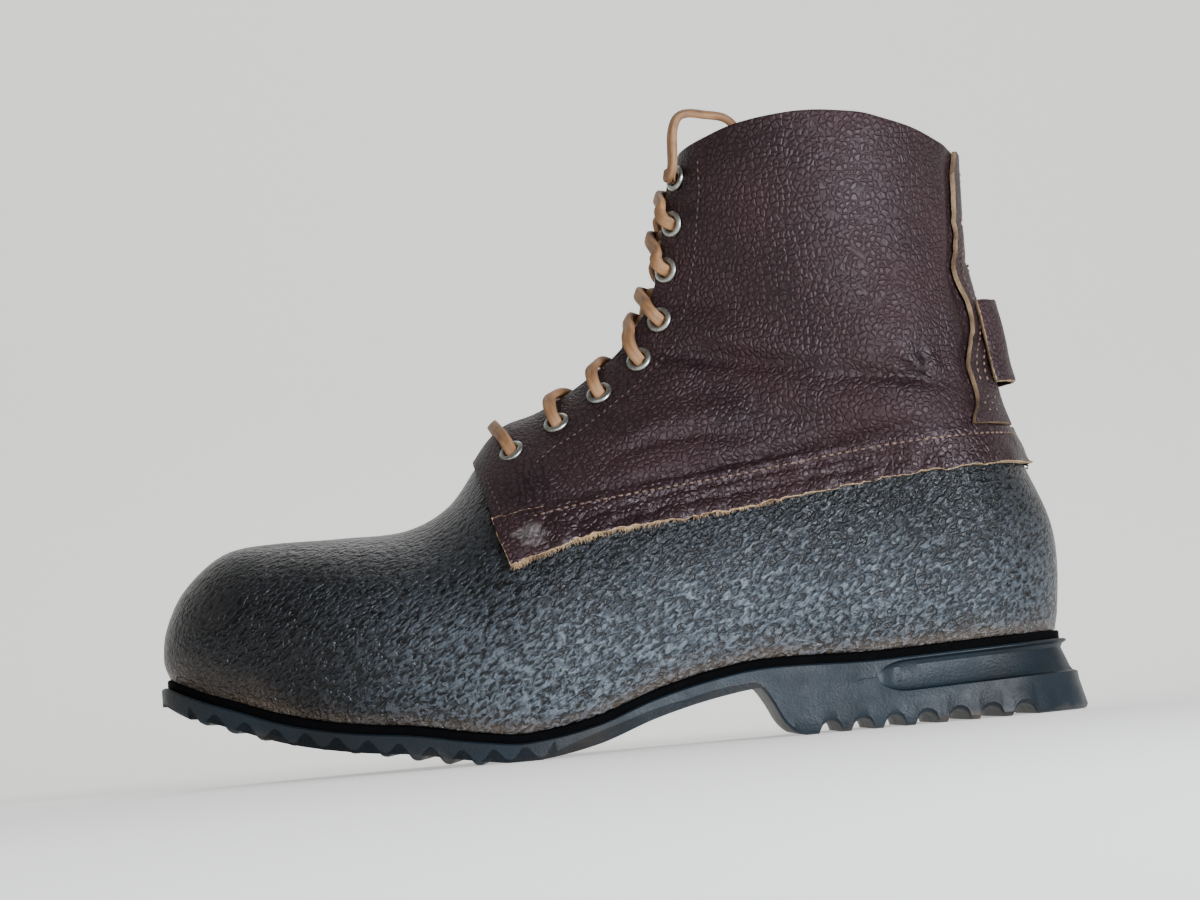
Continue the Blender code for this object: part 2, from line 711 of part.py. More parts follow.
def build_insole(material):
    """Board inside the upper, on the midsole."""
    margin = -(UPPER_WALL + INSOLE_CLEAR)

    def levels(station):
        bottom = feather_height(station) + CLEAR
        return [(0.0, bottom + INSOLE_THICK), (0.0, bottom)]

    return slab("insole", material, margin, plain_stations(*tips(margin)), levels)


# Eyelets and lace

def eyelet_place(number, side):
    """Row and turn of an eyelet on the closed skin."""
    share, lift = EYELETS[number]
    height = lift_height(lift, HEEL_SEAT)
    low, high = float(THROAT_ROW), float(LAST_ROW)
    for _ in range(30):
        row = (low + high) / 2
        turn = turn_where(row, side, lambda point: point.z - height, False)
        if skin(row, side, turn, False).x < share * LENGTH:
            low = row
        else:
            high = row
    return row, turn


def frame_on_skin(row, side, turn):
    """Matrix whose Z leaves the skin at a place."""
    normal = skin_normal(row, side, turn)
    place = Matrix.Translation(skin(row, side, turn, False))
    return place @ normal.to_track_quat("Z", "Y").to_matrix().to_4x4()


def build_eyelets(material):
    """Rolled metal eyelets: a flange outside and a barrel through the wall."""
    barrel = EYELET_BORE + EYELET_SKIN
    floor = -(SHAFT_WALL + 2.0 * CLEAR)
    crown = EYELET_SEAT + EYELET_RISE
    profile = [(EYELET_BORE, floor), (barrel, floor), (barrel, EYELET_SEAT),
               (EYELET_RADIUS, EYELET_SEAT),
               (EYELET_RADIUS - EYELET_ROLL, crown), (EYELET_BORE, crown - CLEAR)]
    segments = 8
    mesh = bmesh.new()
    rings = [[mesh.verts.new((radius * math.cos(2 * math.pi * k / segments),
                              radius * math.sin(2 * math.pi * k / segments), height))
              for radius, height in profile] for k in range(segments)]
    for first, second in zip(rings, rings[1:] + rings[:1]):
        for k in range(len(profile)):
            after = (k + 1) % len(profile)
            mesh.faces.new([first[k], second[k], second[after], first[after]])
    bmesh.ops.recalc_face_normals(mesh, faces=mesh.faces[:])
    data = make_object("eyelet_1_left", mesh, material)
    eyelets = []
    for side, word in ((-1, "left"), (1, "right")):
        for number in range(len(EYELETS)):
            name = f"eyelet_{number + 1}_{word}"
            item = data
            if eyelets:
                item = bpy.data.objects.new(name, data.data)
                bpy.context.scene.collection.objects.link(item)
            item.matrix_world = frame_on_skin(*eyelet_row(number, side))
            eyelets.append(item)
    return eyelets


def eyelet_row(number, side):
    row, turn = eyelet_place(number, side)
    return row, side, turn


def cut_eyelet_holes(shaft):
    """One hole in the shaft for each eyelet barrel."""
    radius = EYELET_BORE + EYELET_SKIN + CLEAR
    mesh = bmesh.new()
    for side in (-1, 1):
        for number in range(len(EYELETS)):
            bmesh.ops.create_cone(mesh, cap_ends=True, segments=8, radius1=radius,
                                  radius2=radius, depth=6.0 * SHAFT_WALL,
                                  matrix=frame_on_skin(*eyelet_row(number, side)))
    tool = make_object("eyelet_holes", mesh, paint("cutter", "#808080", 0.5))
    combine(shaft, tool, "DIFFERENCE")


def tube(mesh, points, radius, sides=6):
    """Closed tube through points, its rings kept square to the path."""
    rings = []
    up = Vector((0.3, 0.2, 1.0))
    for i, point in enumerate(points):
        ahead = points[min(i + 1, len(points) - 1)] - points[max(i - 1, 0)]
        ahead.normalize()
        across = up.cross(ahead).normalized()
        up = ahead.cross(across)
        rings.append([mesh.verts.new(point + radius * (
            math.cos(2 * math.pi * k / sides) * across
            + math.sin(2 * math.pi * k / sides) * up)) for k in range(sides)])
    for first, second in zip(rings, rings[1:]):
        for k in range(sides):
            after = (k + 1) % sides
            mesh.faces.new([first[k], first[after], second[after], second[k]])
    mesh.faces.new(rings[0][::-1])
    mesh.faces.new(rings[-1])
    bmesh.ops.recalc_face_normals(mesh, faces=mesh.faces[:])


def hover(row, side, turn, height):
    return skin(row, side, turn, False) + skin_normal(row, side, turn) * height


def lace_route(first_side, from_bar):
    """Path of one lace half over the throat, turning round above each eyelet."""
    height = EYELET_SEAT + EYELET_RISE + LACE_CLEAR + LACE_RADIUS
    turns = [eyelet_place(number, side) for number, side in lace_stops(first_side)]
    stops = lace_stops(first_side)
    points = []
    if from_bar:
        row, turn = eyelet_place(0, -first_side)
        points += crossing((row, turn), -first_side, turns[0], first_side, height)
    for k, ((row, turn), (_, side)) in enumerate(zip(turns, stops)):
        points.append(hover(row, side, turn, height))
        if k + 1 < len(stops):
            points += crossing((row, turn), side, turns[k + 1], stops[k + 1][1], height)
    return points


def lace_stops(first_side):
    return [(number, first_side * (-1) ** number) for number in range(len(EYELETS))]


def crossing(start, start_side, end, end_side, height):
    """Points over the throat between two eyelets, without the ends."""
    points = []
    for share in (0.15, 0.5, 0.85):
        row = start[0] + (end[0] - start[0]) * share
        across = start_side * (1.0 - start[1]) * (1.0 - share)
        across += end_side * (1.0 - end[1]) * share
        side = -1 if across < 0 else 1
        points.append(hover(row, side, 1.0 - abs(across), height))
    return points


def build_lace(material):
    """Crossings and the bottom bar, joined where they meet."""
    halves = []
    for first_side, from_bar in ((-1, True), (1, False)):
        mesh = bmesh.new()
        tube(mesh, lace_route(first_side, from_bar), LACE_RADIUS)
        halves.append(mesh)
    lace = make_object("lace", halves[0], material)
    other = make_object("lace_other_half", halves[1], material)
    combine(lace, other, "UNION")
    return lace


def build_lace_end(material):
    """Free end: up from the top left eyelet, over the collar and down inside."""
    points = [Vector((share * LENGTH, side * BALL_WIDTH, lift_height(lift, HEEL_SEAT)))
              for share, side, lift in LACE_END_ROUTE]
    count = 26
    path = [Vector((through([p[k] for p in points], i * (len(points) - 1) / count)
                    for k in range(3))) for i in range(count + 1)]
    data = bpy.data.curves.new("lace_end", "CURVE")
    data.dimensions = "3D"
    data.bevel_depth = LACE_RADIUS
    data.bevel_resolution = 2
    data.use_fill_caps = True
    line = data.splines.new("POLY")
    line.points.add(len(path) - 1)
    for place, point in zip(line.points, path):
        place.co = (*point, 1.0)
    data.materials.append(material)
    item = bpy.data.objects.new("lace_end", data)
    bpy.context.scene.collection.objects.link(item)
    return item


def place_origin():
    """Move the boot so that the origin is under the middle of its box, without the cord."""
    bpy.context.view_layer.update()
    graph = bpy.context.evaluated_depsgraph_get()
    corners = []
    for item in bpy.data.objects:
        if item.hide_render or item.name == "lace_end":
            continue
        shape = item.evaluated_get(graph)
        corners += [shape.matrix_world @ Vector(corner) for corner in shape.bound_box]
    middle = [(min(c[k] for c in corners) + max(c[k] for c in corners)) / 2 for k in (0, 1)]
    shift = Matrix.Translation((-middle[0], -middle[1], 0.0))
    for item in bpy.data.objects:
        item.matrix_world = shift @ item.matrix_world


def main():
    clear_scene()
    coated = paint("coated_leather", "#35373a", 0.62)
    burgundy = paint("burgundy_leather", "#3a262a", 0.48)
    lining = paint("tongue_leather", "#2e2022", 0.6)
    board = paint("insole_leather", "#8a6a4c", 0.8)
    rubber = paint("black_rubber", "#24323c", 0.55)
    band_rubber = paint("midsole_rubber", "#15191c", 0.6)
    metal = paint("eyelet_metal", "#9aa39f", 0.35, 1.0)
    rawhide = paint("lace_leather", "#b5845a", 0.7)

    build_upper(coated)
    shaft = build_shaft(burgundy)
    cut_eyelet_holes(shaft)
    build_band(burgundy)
    build_backstay(burgundy)
    build_keeper(burgundy)
    build_tongue(lining)
    build_insole(board)
    build_midsole(band_rubber)
    build_outsole(rubber)
    build_eyelets(metal)
    build_lace(rawhide)
    build_lace_end(rawhide)
    place_origin()


main()
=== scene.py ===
"""Laced combat boot for the left foot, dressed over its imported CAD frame.

Panels of leather and coated leather follow the same last as the CAD part, each with its own
wall, raw edges, folds and stitches. The toe points to -X and the wearer's left is -Y.
"""

import math
import random
from collections import namedtuple
from functools import lru_cache

import bmesh
import bpy
import numpy as np
from mathutils import Matrix, Vector, noise


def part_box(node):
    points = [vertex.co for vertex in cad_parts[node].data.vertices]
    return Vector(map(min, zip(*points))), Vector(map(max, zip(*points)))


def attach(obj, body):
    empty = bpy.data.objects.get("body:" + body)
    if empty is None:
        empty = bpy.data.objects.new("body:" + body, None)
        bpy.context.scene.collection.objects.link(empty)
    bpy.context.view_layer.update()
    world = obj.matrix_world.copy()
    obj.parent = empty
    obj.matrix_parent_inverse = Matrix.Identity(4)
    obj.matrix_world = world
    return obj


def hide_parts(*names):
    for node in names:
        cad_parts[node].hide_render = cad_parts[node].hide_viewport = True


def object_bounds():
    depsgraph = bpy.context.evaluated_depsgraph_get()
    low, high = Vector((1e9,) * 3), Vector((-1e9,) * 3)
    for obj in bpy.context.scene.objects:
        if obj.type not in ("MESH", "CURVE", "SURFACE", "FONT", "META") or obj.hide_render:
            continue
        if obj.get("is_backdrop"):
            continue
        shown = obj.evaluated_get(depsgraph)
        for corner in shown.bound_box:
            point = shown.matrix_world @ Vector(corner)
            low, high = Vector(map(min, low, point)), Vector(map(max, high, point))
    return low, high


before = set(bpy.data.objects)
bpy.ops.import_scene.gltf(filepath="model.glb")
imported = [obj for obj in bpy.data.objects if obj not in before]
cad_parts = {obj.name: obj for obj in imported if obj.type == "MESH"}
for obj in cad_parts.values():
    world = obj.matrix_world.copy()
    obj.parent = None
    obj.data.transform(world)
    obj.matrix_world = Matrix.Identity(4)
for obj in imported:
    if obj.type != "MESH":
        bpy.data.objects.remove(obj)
CAD_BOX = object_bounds()

bl_info = {
    "name": "Laced Combat Boot",
    "version": (1, 0, 0),
    "blender": (4, 5, 0),
    "location": "View3D > Sidebar > Boot",
    "description": "Builds a worn leather combat boot with a coated lower and a rubber sole",
    "category": "Add Mesh",
}

# The last, with the same named sizes and tables as the CAD part
LENGTH = 0.300
BALL_WIDTH = 0.106
HEEL_SEAT = 0.0255
INSTEP = 0.0965
SHAFT_TOP = 0.198

Section = namedtuple(
    "Section", "top_s lift low_s rise outer inner ridge belly foot square gap arch")
SECTIONS = [
    Section(0.010, 0.000, 0.010, 0.000, -.055, 0.055, 0.055, 0.25, 0.97, 2.20, 0.000, 0.000),
    Section(0.008, 0.133, 0.020, 0.000, 0.093, 0.205, 0.055, 0.25, 0.97, 2.20, 0.000, 0.000),
    Section(0.015, 0.331, 0.045, 0.000, 0.190, 0.305, 0.055, 0.27, 0.97, 2.25, 0.000, 0.000),
    Section(0.038, 0.547, 0.085, 0.000, 0.280, 0.383, 0.052, 0.29, 0.965, 2.30, 0.000, 0.000),
    Section(0.080, 0.713, 0.140, 0.000, 0.357, 0.438, 0.045, 0.31, 0.96, 2.30, 0.000, 0.000),
    Section(0.140, 0.759, 0.203, 0.000, 0.420, 0.471, 0.038, 0.32, 0.955, 2.25, 0.000, 0.000),
    Section(0.210, 0.766, 0.280, 0.000, 0.472, 0.486, 0.030, 0.32, 0.95, 2.15, 0.000, 0.000),
    Section(0.283, 0.782, 0.353, 0.000, 0.500, 0.476, 0.022, 0.31, 0.95, 2.05, 0.000, 0.000),
    Section(0.330, 0.858, 0.397, 0.000, 0.508, 0.453, 0.015, 0.30, 0.95, 1.95, 0.000, 0.000),
    Section(0.365, 1.000, 0.437, 0.000, 0.503, 0.430, 0.010, 0.30, 0.94, 1.90, 0.034, 0.000),
    Section(0.397, 1.108, 0.507, 0.000, 0.481, 0.396, 0.005, 0.30, 0.92, 1.90, 0.055, 0.000),
    Section(0.437, 1.163, 0.593, 0.000, 0.448, 0.358, 0.000, 0.30, 0.90, 1.90, 0.075, 0.000),
    Section(0.483, 1.246, 0.700, 0.000, 0.406, 0.330, -.006, 0.30, 0.90, 1.95, 0.085, 0.000),
    Section(0.520, 1.330, 0.817, 0.000, 0.373, 0.324, -.010, 0.30, 0.91, 2.00, 0.092, 0.000),
    Section(0.543, 1.429, 0.910, 0.000, 0.354, 0.325, -.010, 0.30, 0.82, 2.00, 0.097, 0.000),
    Section(0.552, 1.478, 0.955, 0.000, 0.349, 0.325, -.010, 0.30, 0.53, 2.00, 0.100, 0.000),
    Section(0.555, 1.502, 0.969, 0.000, 0.347, 0.325, -.010, 0.31, 0.26, 2.00, 0.101, 0.000),
    Section(0.558, 1.527, 0.9733, 0.000, 0.346, 0.325, -.010, 0.32, 0.00, 2.00, 0.102, 0.000),
    Section(0.567, 1.606, 0.981, 0.107, 0.342, 0.325, -.010, 0.34, 0.00, 2.00, 0.105, 0.000),
    Section(0.573, 1.685, 0.978, 0.200, 0.340, 0.325, -.010, 0.37, 0.00, 2.00, 0.108, 0.000),
    Section(0.580, 1.754, 0.955, 0.322, 0.340, 0.328, -.008, 0.41, 0.00, 2.05, 0.111, 0.003),
    Section(0.587, 1.813, 0.933, 0.438, 0.344, 0.335, -.006, 0.45, 0.00, 2.05, 0.114, 0.008),
    Section(0.593, 1.852, 0.923, 0.559, 0.349, 0.344, -.004, 0.48, 0.00, 2.10, 0.117, 0.016),
    Section(0.600, 1.892, 0.910, 0.722, 0.354, 0.354, 0.000, 0.50, 0.00, 2.10, 0.120, 0.030),
    Section(0.607, 1.921, 0.913, 0.913, 0.358, 0.358, 0.000, 0.50, 0.00, 2.10, 0.123, 0.055),
]
THROAT_ROW = 9
HEEL_ROW = 17
LAST_ROW = len(SECTIONS) - 1

# Side lines: station as a share of LENGTH, height as a share of the named size
FEATHER = [(0.010, 1.431), (0.050, 1.230), (0.090, 1.060), (0.135, 0.865), (0.173, 0.745),
           (0.225, 0.630), (0.280, 0.550), (0.350, 0.395), (0.397, 0.338), (0.470, 0.470),
           (0.533, 0.720), (0.593, 0.890), (0.653, 0.980), (0.760, 0.955), (0.867, 0.985),
           (0.970, 1.020)]
TREAD = [(0.000, 1.140), (0.033, 0.910), (0.067, 0.745), (0.100, 0.615), (0.133, 0.500),
         (0.167, 0.410), (0.200, 0.320), (0.233, 0.250), (0.267, 0.165), (0.300, 0.085),
         (0.330, 0.020), (0.355, 0.000), (0.412, 0.000), (0.440, 0.120), (0.470, 0.250),
         (0.500, 0.355), (0.533, 0.470), (0.567, 0.550), (0.600, 0.630), (0.635, 0.665),
         (0.645, 0.620), (0.656, 0.420), (0.666, 0.180), (0.677, 0.040), (0.688, 0.000)]
JOINT = [(0.380, 0.700), (0.483, 0.770), (0.640, 0.815), (0.827, 0.885), (0.980, 0.890)]
BAND_LOW = [(0.380, 0.600), (0.400, 0.625), (0.480, 0.700), (0.637, 0.748), (0.827, 0.818),
            (0.980, 0.830)]
BAND_TOP = [(0.380, 0.775), (0.483, 0.830), (0.640, 0.882), (0.813, 0.943), (0.980, 0.950)]
BACKSTAY_SEEN = [(90, 268.5), (95, 268.5), (101, 270.5), (107, 269.8), (114, 269.0),
                 (124, 272.0), (133, 271.2), (143, 267.8), (153, 269.5), (176, 270.8),
                 (184, 272.6), (198, 273.5)]
BACKSTAY_RIGHT = [(-0.10, 0.886), (0.05, 0.888), (0.27, 0.884), (0.56, 0.876), (0.80, 0.878),
                  (1.00, 0.882)]
EYELETS = [(0.4067, 1.015), (0.4567, 1.094), (0.5053, 1.177), (0.5513, 1.274),
           (0.5773, 1.397), (0.5897, 1.556), (0.6007, 1.700), (0.6093, 1.844)]
LACE_END_ROUTE = [(0.5985, -.182, 1.854), (0.6024, -.201, 1.856), (0.6053, -.212, 1.877),
                  (0.6067, -.214, 1.925), (0.6087, -.209, 1.985), (0.6150, -.202, 2.030),
                  (0.6267, -.194, 2.045), (0.6450, -.191, 2.036), (0.6650, -.185, 2.022),
                  (0.6767, -.174, 1.990), (0.6843, -.165, 1.931), (0.6867, -.160, 1.862),
                  (0.6867, -.160, 1.803)]
FORE_TEETH_SPAN = (0.0373, 0.4273)
HEEL_TEETH_SPAN = (0.697, 0.933)
FORE_TEETH = 12
HEEL_TEETH = 7
TOOTH_DEPTH = 0.0042
HEEL_TOOTH_DEPTH = 0.0036
SOLE_MARGIN = 0.0030
HEEL_FLARE = 0.0050
MIDSOLE_THICK = 0.0017
SEAT_GAP = 0.0007
GROOVE_START = 0.768
WIDEST_TURN = 0.40

# Fits and roundings of the dressed pieces, in metres
JOINT_GAP = 0.0006
BACKSTAY_GAP = 0.0014
EYELET_HOLE = 0.0033
LAP_ENDS = (0.112, 0.136)
CUT_ROUND = 0.0003
COLLAR_ROUND = 0.00035
ROUND_END = 0.010
ROUND_STEPS = 12

# Folds pressed into the leather leg: side, width and depth in mm, then stations and
# heights in mm down the fold. A negative depth is a tuck, a positive one a soft bulge.
SHAFT_FOLDS = [
    (-1, 3.0, -2.3, [(168, 128), (182, 124), (195, 121), (208, 118), (222, 114.5)]),
    (-1, 5.5, 1.4, [(172, 135), (186, 131), (200, 127), (216, 122), (230, 118)]),
    (-1, 2.2, -2.0, [(224, 113), (238, 111.5), (250, 110), (266, 107)]),
    (-1, 6.5, 1.9, [(200, 108), (222, 104), (236, 100), (248, 98), (262, 99)]),
    (-1, 1.3, -1.0, [(254, 121), (256, 113), (255, 105)]),
    (-1, 1.2, -0.9, [(261, 119), (263, 111), (261, 102)]),
    (-1, 1.2, -0.8, [(248, 118), (250, 112), (248, 106)]),
    (-1, 1.4, -1.0, [(238, 119), (248, 117.5), (258, 118), (266, 121)]),
    (-1, 2.4, 0.9, [(269, 192), (267, 170), (265, 152), (264, 136), (267, 124), (263, 104)]),
    (-1, 1.2, -1.3, [(272, 186), (269.8, 176), (268.6, 153), (267, 143), (270.3, 133), (271, 124),
                     (268, 114), (269, 107), (269.5, 101), (267, 95)]),
    (-1, 2.2, -0.9, [(196, 106), (208, 102), (222, 100), (232, 97)]),
    (-1, 2.0, -1.0, [(150, 92), (166, 97), (182, 98), (200, 95)]),
    (-1, 4.5, 1.1, [(150, 98), (168, 103), (186, 105), (204, 103)]),
    (-1, 3.0, -0.8, [(176, 142), (190, 140), (204, 139)]),
    (-1, 1.7, -1.7, [(140, 81.5), (165, 85), (192, 88), (216, 90.5), (244, 94), (268, 95)]),
    (1, 2.8, -1.5, [(166, 122), (182, 121), (200, 117), (222, 111)]),
    (1, 5.5, 1.3, [(170, 129), (190, 127), (210, 122), (230, 117)]),
    (1, 2.6, -1.2, [(222, 110), (240, 108), (262, 104)]),
    (1, 6.0, 1.3, [(216, 102), (236, 99), (256, 97)]),
    (1, 2.0, -0.9, [(150, 96), (170, 99), (192, 99), (212, 95)]),
    (1, 1.8, -0.9, [(180, 88), (204, 91), (232, 94), (264, 96)]),
]

# Seams drawn on the outer side, stations and heights in mm
FACING_STITCHES = [(190.0, 187), (189.6, 177), (187, 162), (184, 149), (179, 135),
                   (176, 127), (168.4, 120.4), (159, 113), (143, 102), (135, 98),
                   (129.5, 93.5), (128, 89)]
FRONT_STITCHES = [(112.5, 96), (114.5, 88), (117.0, 80), (119.5, 72)]


# Colours and the node helper

def srgb(code):
    """Linear colour of an sRGB hex code."""
    parts = [int(code[i:i + 2], 16) / 255.0 for i in (1, 3, 5)]
    return tuple(p / 12.92 if p <= 0.04045 else ((p + 0.055) / 1.055) ** 2.4 for p in parts)


def fill(tree, item, inputs):
    """Links or sets each input socket of a node that is named in inputs."""
    for key, value in inputs.items():
        if isinstance(value, bpy.types.NodeSocket):
            tree.links.new(value, item.inputs[key])
        else:
            item.inputs[key].default_value = value


def add_node(tree, kind, settings=None, inputs=None):
    """Adds a shader node with its settings and input sockets."""
    item = tree.nodes.new(f"ShaderNode{kind}")
    for key, value in (settings or {}).items():
        setattr(item, key, value)
    fill(tree, item, inputs or {})
    return item


def start_material(name):
    """Fresh material with its tree, shader and object coordinates."""
    made = bpy.data.materials.new(name)
    made.use_nodes = True
    tree = made.node_tree
    place = add_node(tree, "TexCoord").outputs["Object"]
    return made, tree, tree.nodes["Principled BSDF"], place


def rgba(colour):
    return (colour[0], colour[1], colour[2], 1.0)


def between(tree, value, low, high, first, second, most=1.0):
    """Colour that goes from first to second, or most of the way, as a value rises."""
    share = add_node(tree, "MapRange", inputs={
        "Value": value, "From Min": low, "From Max": high, "To Max": most})
    ends = [end if isinstance(end, bpy.types.NodeSocket) else rgba(end)
            for end in (first, second)]
    return add_node(tree, "Mix", {"data_type": "RGBA"}, {
        0: share.outputs[0], 6: ends[0], 7: ends[1]}).outputs[2]


# The last: the same surface as in the CAD part

def clamp(value, low, high):
    return max(low, min(high, value))


def ease(value, low, high):
    """Smooth step from 0 at low to 1 at high."""
    share = clamp((value - low) / (high - low), 0.0, 1.0)
    return share * share * (3.0 - 2.0 * share)


def through(values, place):
    """Smooth value at a place among evenly numbered values (Catmull-Rom)."""
    last = len(values) - 1
    first = clamp(int(place), 0, last - 1)
    share = place - first
    before, here = values[max(first - 1, 0)], values[first]
    after, beyond = values[first + 1], values[min(first + 2, last)]
    cubic = 3.0 * (here - after) + beyond - before
    square = 2.0 * before - 5.0 * here + 4.0 * after - beyond
    return here + 0.5 * share * (after - before + share * (square + share * cubic))


def along(line, place):
    """Smooth height of a side line at a place, with slopes from its neighbours."""
    last = len(line) - 1
    if place <= line[0][0]:
        return line[0][1]
    if place >= line[last][0]:
        return line[last][1]
    first = max(i for i in range(last) if line[i][0] <= place)

    def slope(i):
        low, high = max(i - 1, 0), min(i + 1, last)
        return (line[high][1] - line[low][1]) / (line[high][0] - line[low][0])

    span = line[first + 1][0] - line[first][0]
    t = (place - line[first][0]) / span
    return ((2 * t**3 - 3 * t**2 + 1) * line[first][1]
            + (t**3 - 2 * t**2 + t) * span * slope(first)
            + (3 * t**2 - 2 * t**3) * line[first + 1][1]
            + (t**3 - t**2) * span * slope(first + 1))


def feather_height(station):
    return along(FEATHER, station / LENGTH) * HEEL_SEAT


def lift_height(lift, base):
    if lift <= 1.0:
        return base + lift * (INSTEP - base)
    return INSTEP + (lift - 1.0) * (SHAFT_TOP - INSTEP)


@lru_cache(maxsize=200000)
def section_at(row):
    return Section(*(through([part[k] for part in SECTIONS], row)
                     for k in range(len(Section._fields))))


@lru_cache(maxsize=200000)
def section_ends(row):
    part = section_at(row)
    base = feather_height(part.low_s * LENGTH)
    low = Vector((part.low_s * LENGTH, 0.0, base + max(part.rise, 0.0) * (SHAFT_TOP - base)))
    top = Vector((part.top_s * LENGTH, 0.0, lift_height(part.lift, base)))
    return part, low, top


def skin(row, side, turn, open_throat=True):
    """Point on the outside of the last. side is -1 on the left and 1 on the right.

    turn runs from 0 at the feather or the back to 1 at the ridge or the facing's edge."""
    part, low, top = section_ends(row)
    ridge = part.ridge * BALL_WIDTH
    reach = (part.outer + part.ridge if side < 0 else part.inner - part.ridge) * BALL_WIDTH
    reach = max(reach, 0.0)
    if turn < WIDEST_TURN:
        foot = clamp(part.foot, 0.0, 0.985)
        flat = math.sqrt(1.0 - foot * foot)
        angle = math.asin(flat) * (1.0 - turn / WIDEST_TURN)
        share = part.belly * (1.0 - math.sin(angle) / flat)
        width = math.cos(angle)
    else:
        last_angle = math.pi / 2
        if open_throat and part.gap > 0.001 and row > THROAT_ROW:
            half_gap = (part.gap * BALL_WIDTH) / reach
            last_angle = math.acos(half_gap ** (part.square / 2.0))
        angle = last_angle * (turn - WIDEST_TURN) / (1.0 - WIDEST_TURN)
        share = part.belly + (1.0 - part.belly) * math.sin(angle) ** (2.0 / part.square)
        width = max(math.cos(angle), 0.0) ** (2.0 / part.square)
    point = low.lerp(top, share)
    point.y = ridge + side * reach * width
    point.z += part.arch * SHAFT_TOP * 4.0 * share * (1.0 - share)
    return point


def skin_normal(row, side, turn):
    step = 0.02
    along_row = (skin(min(row + step, LAST_ROW), side, turn, False)
                 - skin(max(row - step, 0.0), side, turn, False))
    up = (skin(row, side, min(turn + step, 1.0), False)
          - skin(row, side, max(turn - step, 0.0), False))
    return (along_row.cross(up) * -side).normalized()


def halve(low, high, short, rounds=24):
    """Place between low and high where short(place) goes from true to false."""
    for _ in range(rounds):
        middle = (low + high) / 2
        if short(middle):
            low = middle
        else:
            high = middle
    return (low + high) / 2


def turn_where(row, side, test, open_throat=True):
    """Turn on a section where test(point) goes from negative to positive."""
    if test(skin(row, side, 0.0, open_throat)) >= 0.0:
        return 0.0
    if test(skin(row, side, 1.0, open_throat)) <= 0.0:
        return 1.0
    return halve(0.0, 1.0, lambda turn: test(skin(row, side, turn, open_throat)) < 0.0)


def row_where(side, turn, test, first, last):
    """Row between two rows where test(point) goes from negative to positive."""
    return halve(first, last, lambda row: test(skin(row, side, turn, False)) < 0.0)


def above(line, size, extra=0.0):
    """Test that is positive above a side line."""
    return lambda point: point.z - along(line, point.x / LENGTH) * size - extra


def back_row(line, size):
    """Row whose back point lies on a side line."""
    return row_where(-1, 0.0, above(line, size), HEEL_ROW, LAST_ROW)


def place_on(side, station, height):
    """Row and turn of a side-view place on the closed skin."""
    def turn_at(row):
        return turn_where(row, side, lambda point: point.z - height, False)

    row = halve(THROAT_ROW - 0.5, float(LAST_ROW),
                lambda row: skin(row, side, turn_at(row), False).x < station, rounds=23)
    return row, turn_at(row)


def hover(row, side, turn, height):
    return skin(row, side, turn, False) + skin_normal(row, side, turn) * height


def frame_on_skin(row, side, turn):
    """Matrix whose Z leaves the skin at a place."""
    normal = skin_normal(row, side, turn)
    place = Matrix.Translation(skin(row, side, turn, False))
    return place @ normal.to_track_quat("Z", "Y").to_matrix().to_4x4()


def frame_shift():
    """Move from the last's own stations to the shared frame of the CAD nodes."""
    low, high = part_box("upper")
    rows = [THROAT_ROW * i / 60 for i in range(61)]
    left = min(skin(row, -1, WIDEST_TURN).y for row in rows)
    right = max(skin(row, 1, WIDEST_TURN).y for row in rows)
    return Vector((-LENGTH / 2, (low[1] + high[1]) / 2 - (left + right) / 2, 0.0))


SHIFT = frame_shift()


# Mesh helpers

def even_rows(first, last, step, turn=0.3):
    """Rows between two rows, spaced evenly on the surface."""
    count = 240
    rows = [first + (last - first) * i / count for i in range(count + 1)]
    points = [skin(row, -1, turn) for row in rows]
    run = np.concatenate([[0.0], np.cumsum([(b - a).length for a, b in zip(points, points[1:])])])
    pieces = max(int(round(run[-1] / step)), 2)
    return [float(v) for v in np.interp(np.linspace(0.0, run[-1], pieces + 1), run, rows)]


def mapped_grid(bm, across, steps, place, flip=False):
    """Grid of faces, its corners moved by place(u, v), both from 0 to 1."""
    made = bmesh.ops.create_grid(bm, x_segments=across, y_segments=steps, size=0.5)
    for vertex in made["verts"]:
        vertex.co = place(vertex.co.x + 0.5, vertex.co.y + 0.5)
    if flip:
        faces = list({face for vertex in made["verts"] for face in vertex.link_faces})
        bmesh.ops.reverse_faces(bm, faces=faces)
    return made["verts"]


def panel_side(bm, side, rows, bounds, columns):
    """One side of a panel between two turns of each row."""
    limits = [bounds(row, side) for row in rows]
    last = len(rows) - 1

    def place(u, v):
        k = int(round(u * last))
        low, high = limits[k]
        return skin(rows[k], side, low + (high - low) * v)

    return mapped_grid(bm, last, columns, place, flip=side > 0)


def clean(bm):
    bmesh.ops.remove_doubles(bm, verts=bm.verts[:], dist=3e-5)
    bmesh.ops.dissolve_degenerate(bm, dist=1e-6, edges=bm.edges[:])
    bm.normal_update()


def fold_offsets(points, side_of, folds):
    """How far each point moves along its normal for the folds drawn on its side."""
    offsets = np.zeros(len(points))
    for side, width, depth, line in folds:
        nearest = np.full(len(points), 1e9)
        share = np.zeros(len(points))
        runs = [math.dist(a, b) for a, b in zip(line, line[1:])]
        total = sum(runs)
        done = 0.0
        for (a, b), run in zip(zip(line, line[1:]), runs):
            start, span = np.array(a), np.array(b) - np.array(a)
            t = np.clip(((points - start) @ span) / (span @ span), 0.0, 1.0)
            gap = np.linalg.norm(points - start - t[:, None] * span, axis=1)
            closer = gap < nearest
            nearest = np.where(closer, gap, nearest)
            share = np.where(closer, (done + t * run) / total, share)
            done += run
        fade = np.sin(np.pi * np.clip(share, 0.02, 0.98)) ** 0.7
        bell = depth * np.exp(-(nearest / width) ** 2) * fade
        offsets += np.where(side_of == side, bell, 0.0)
    return offsets / 1000.0


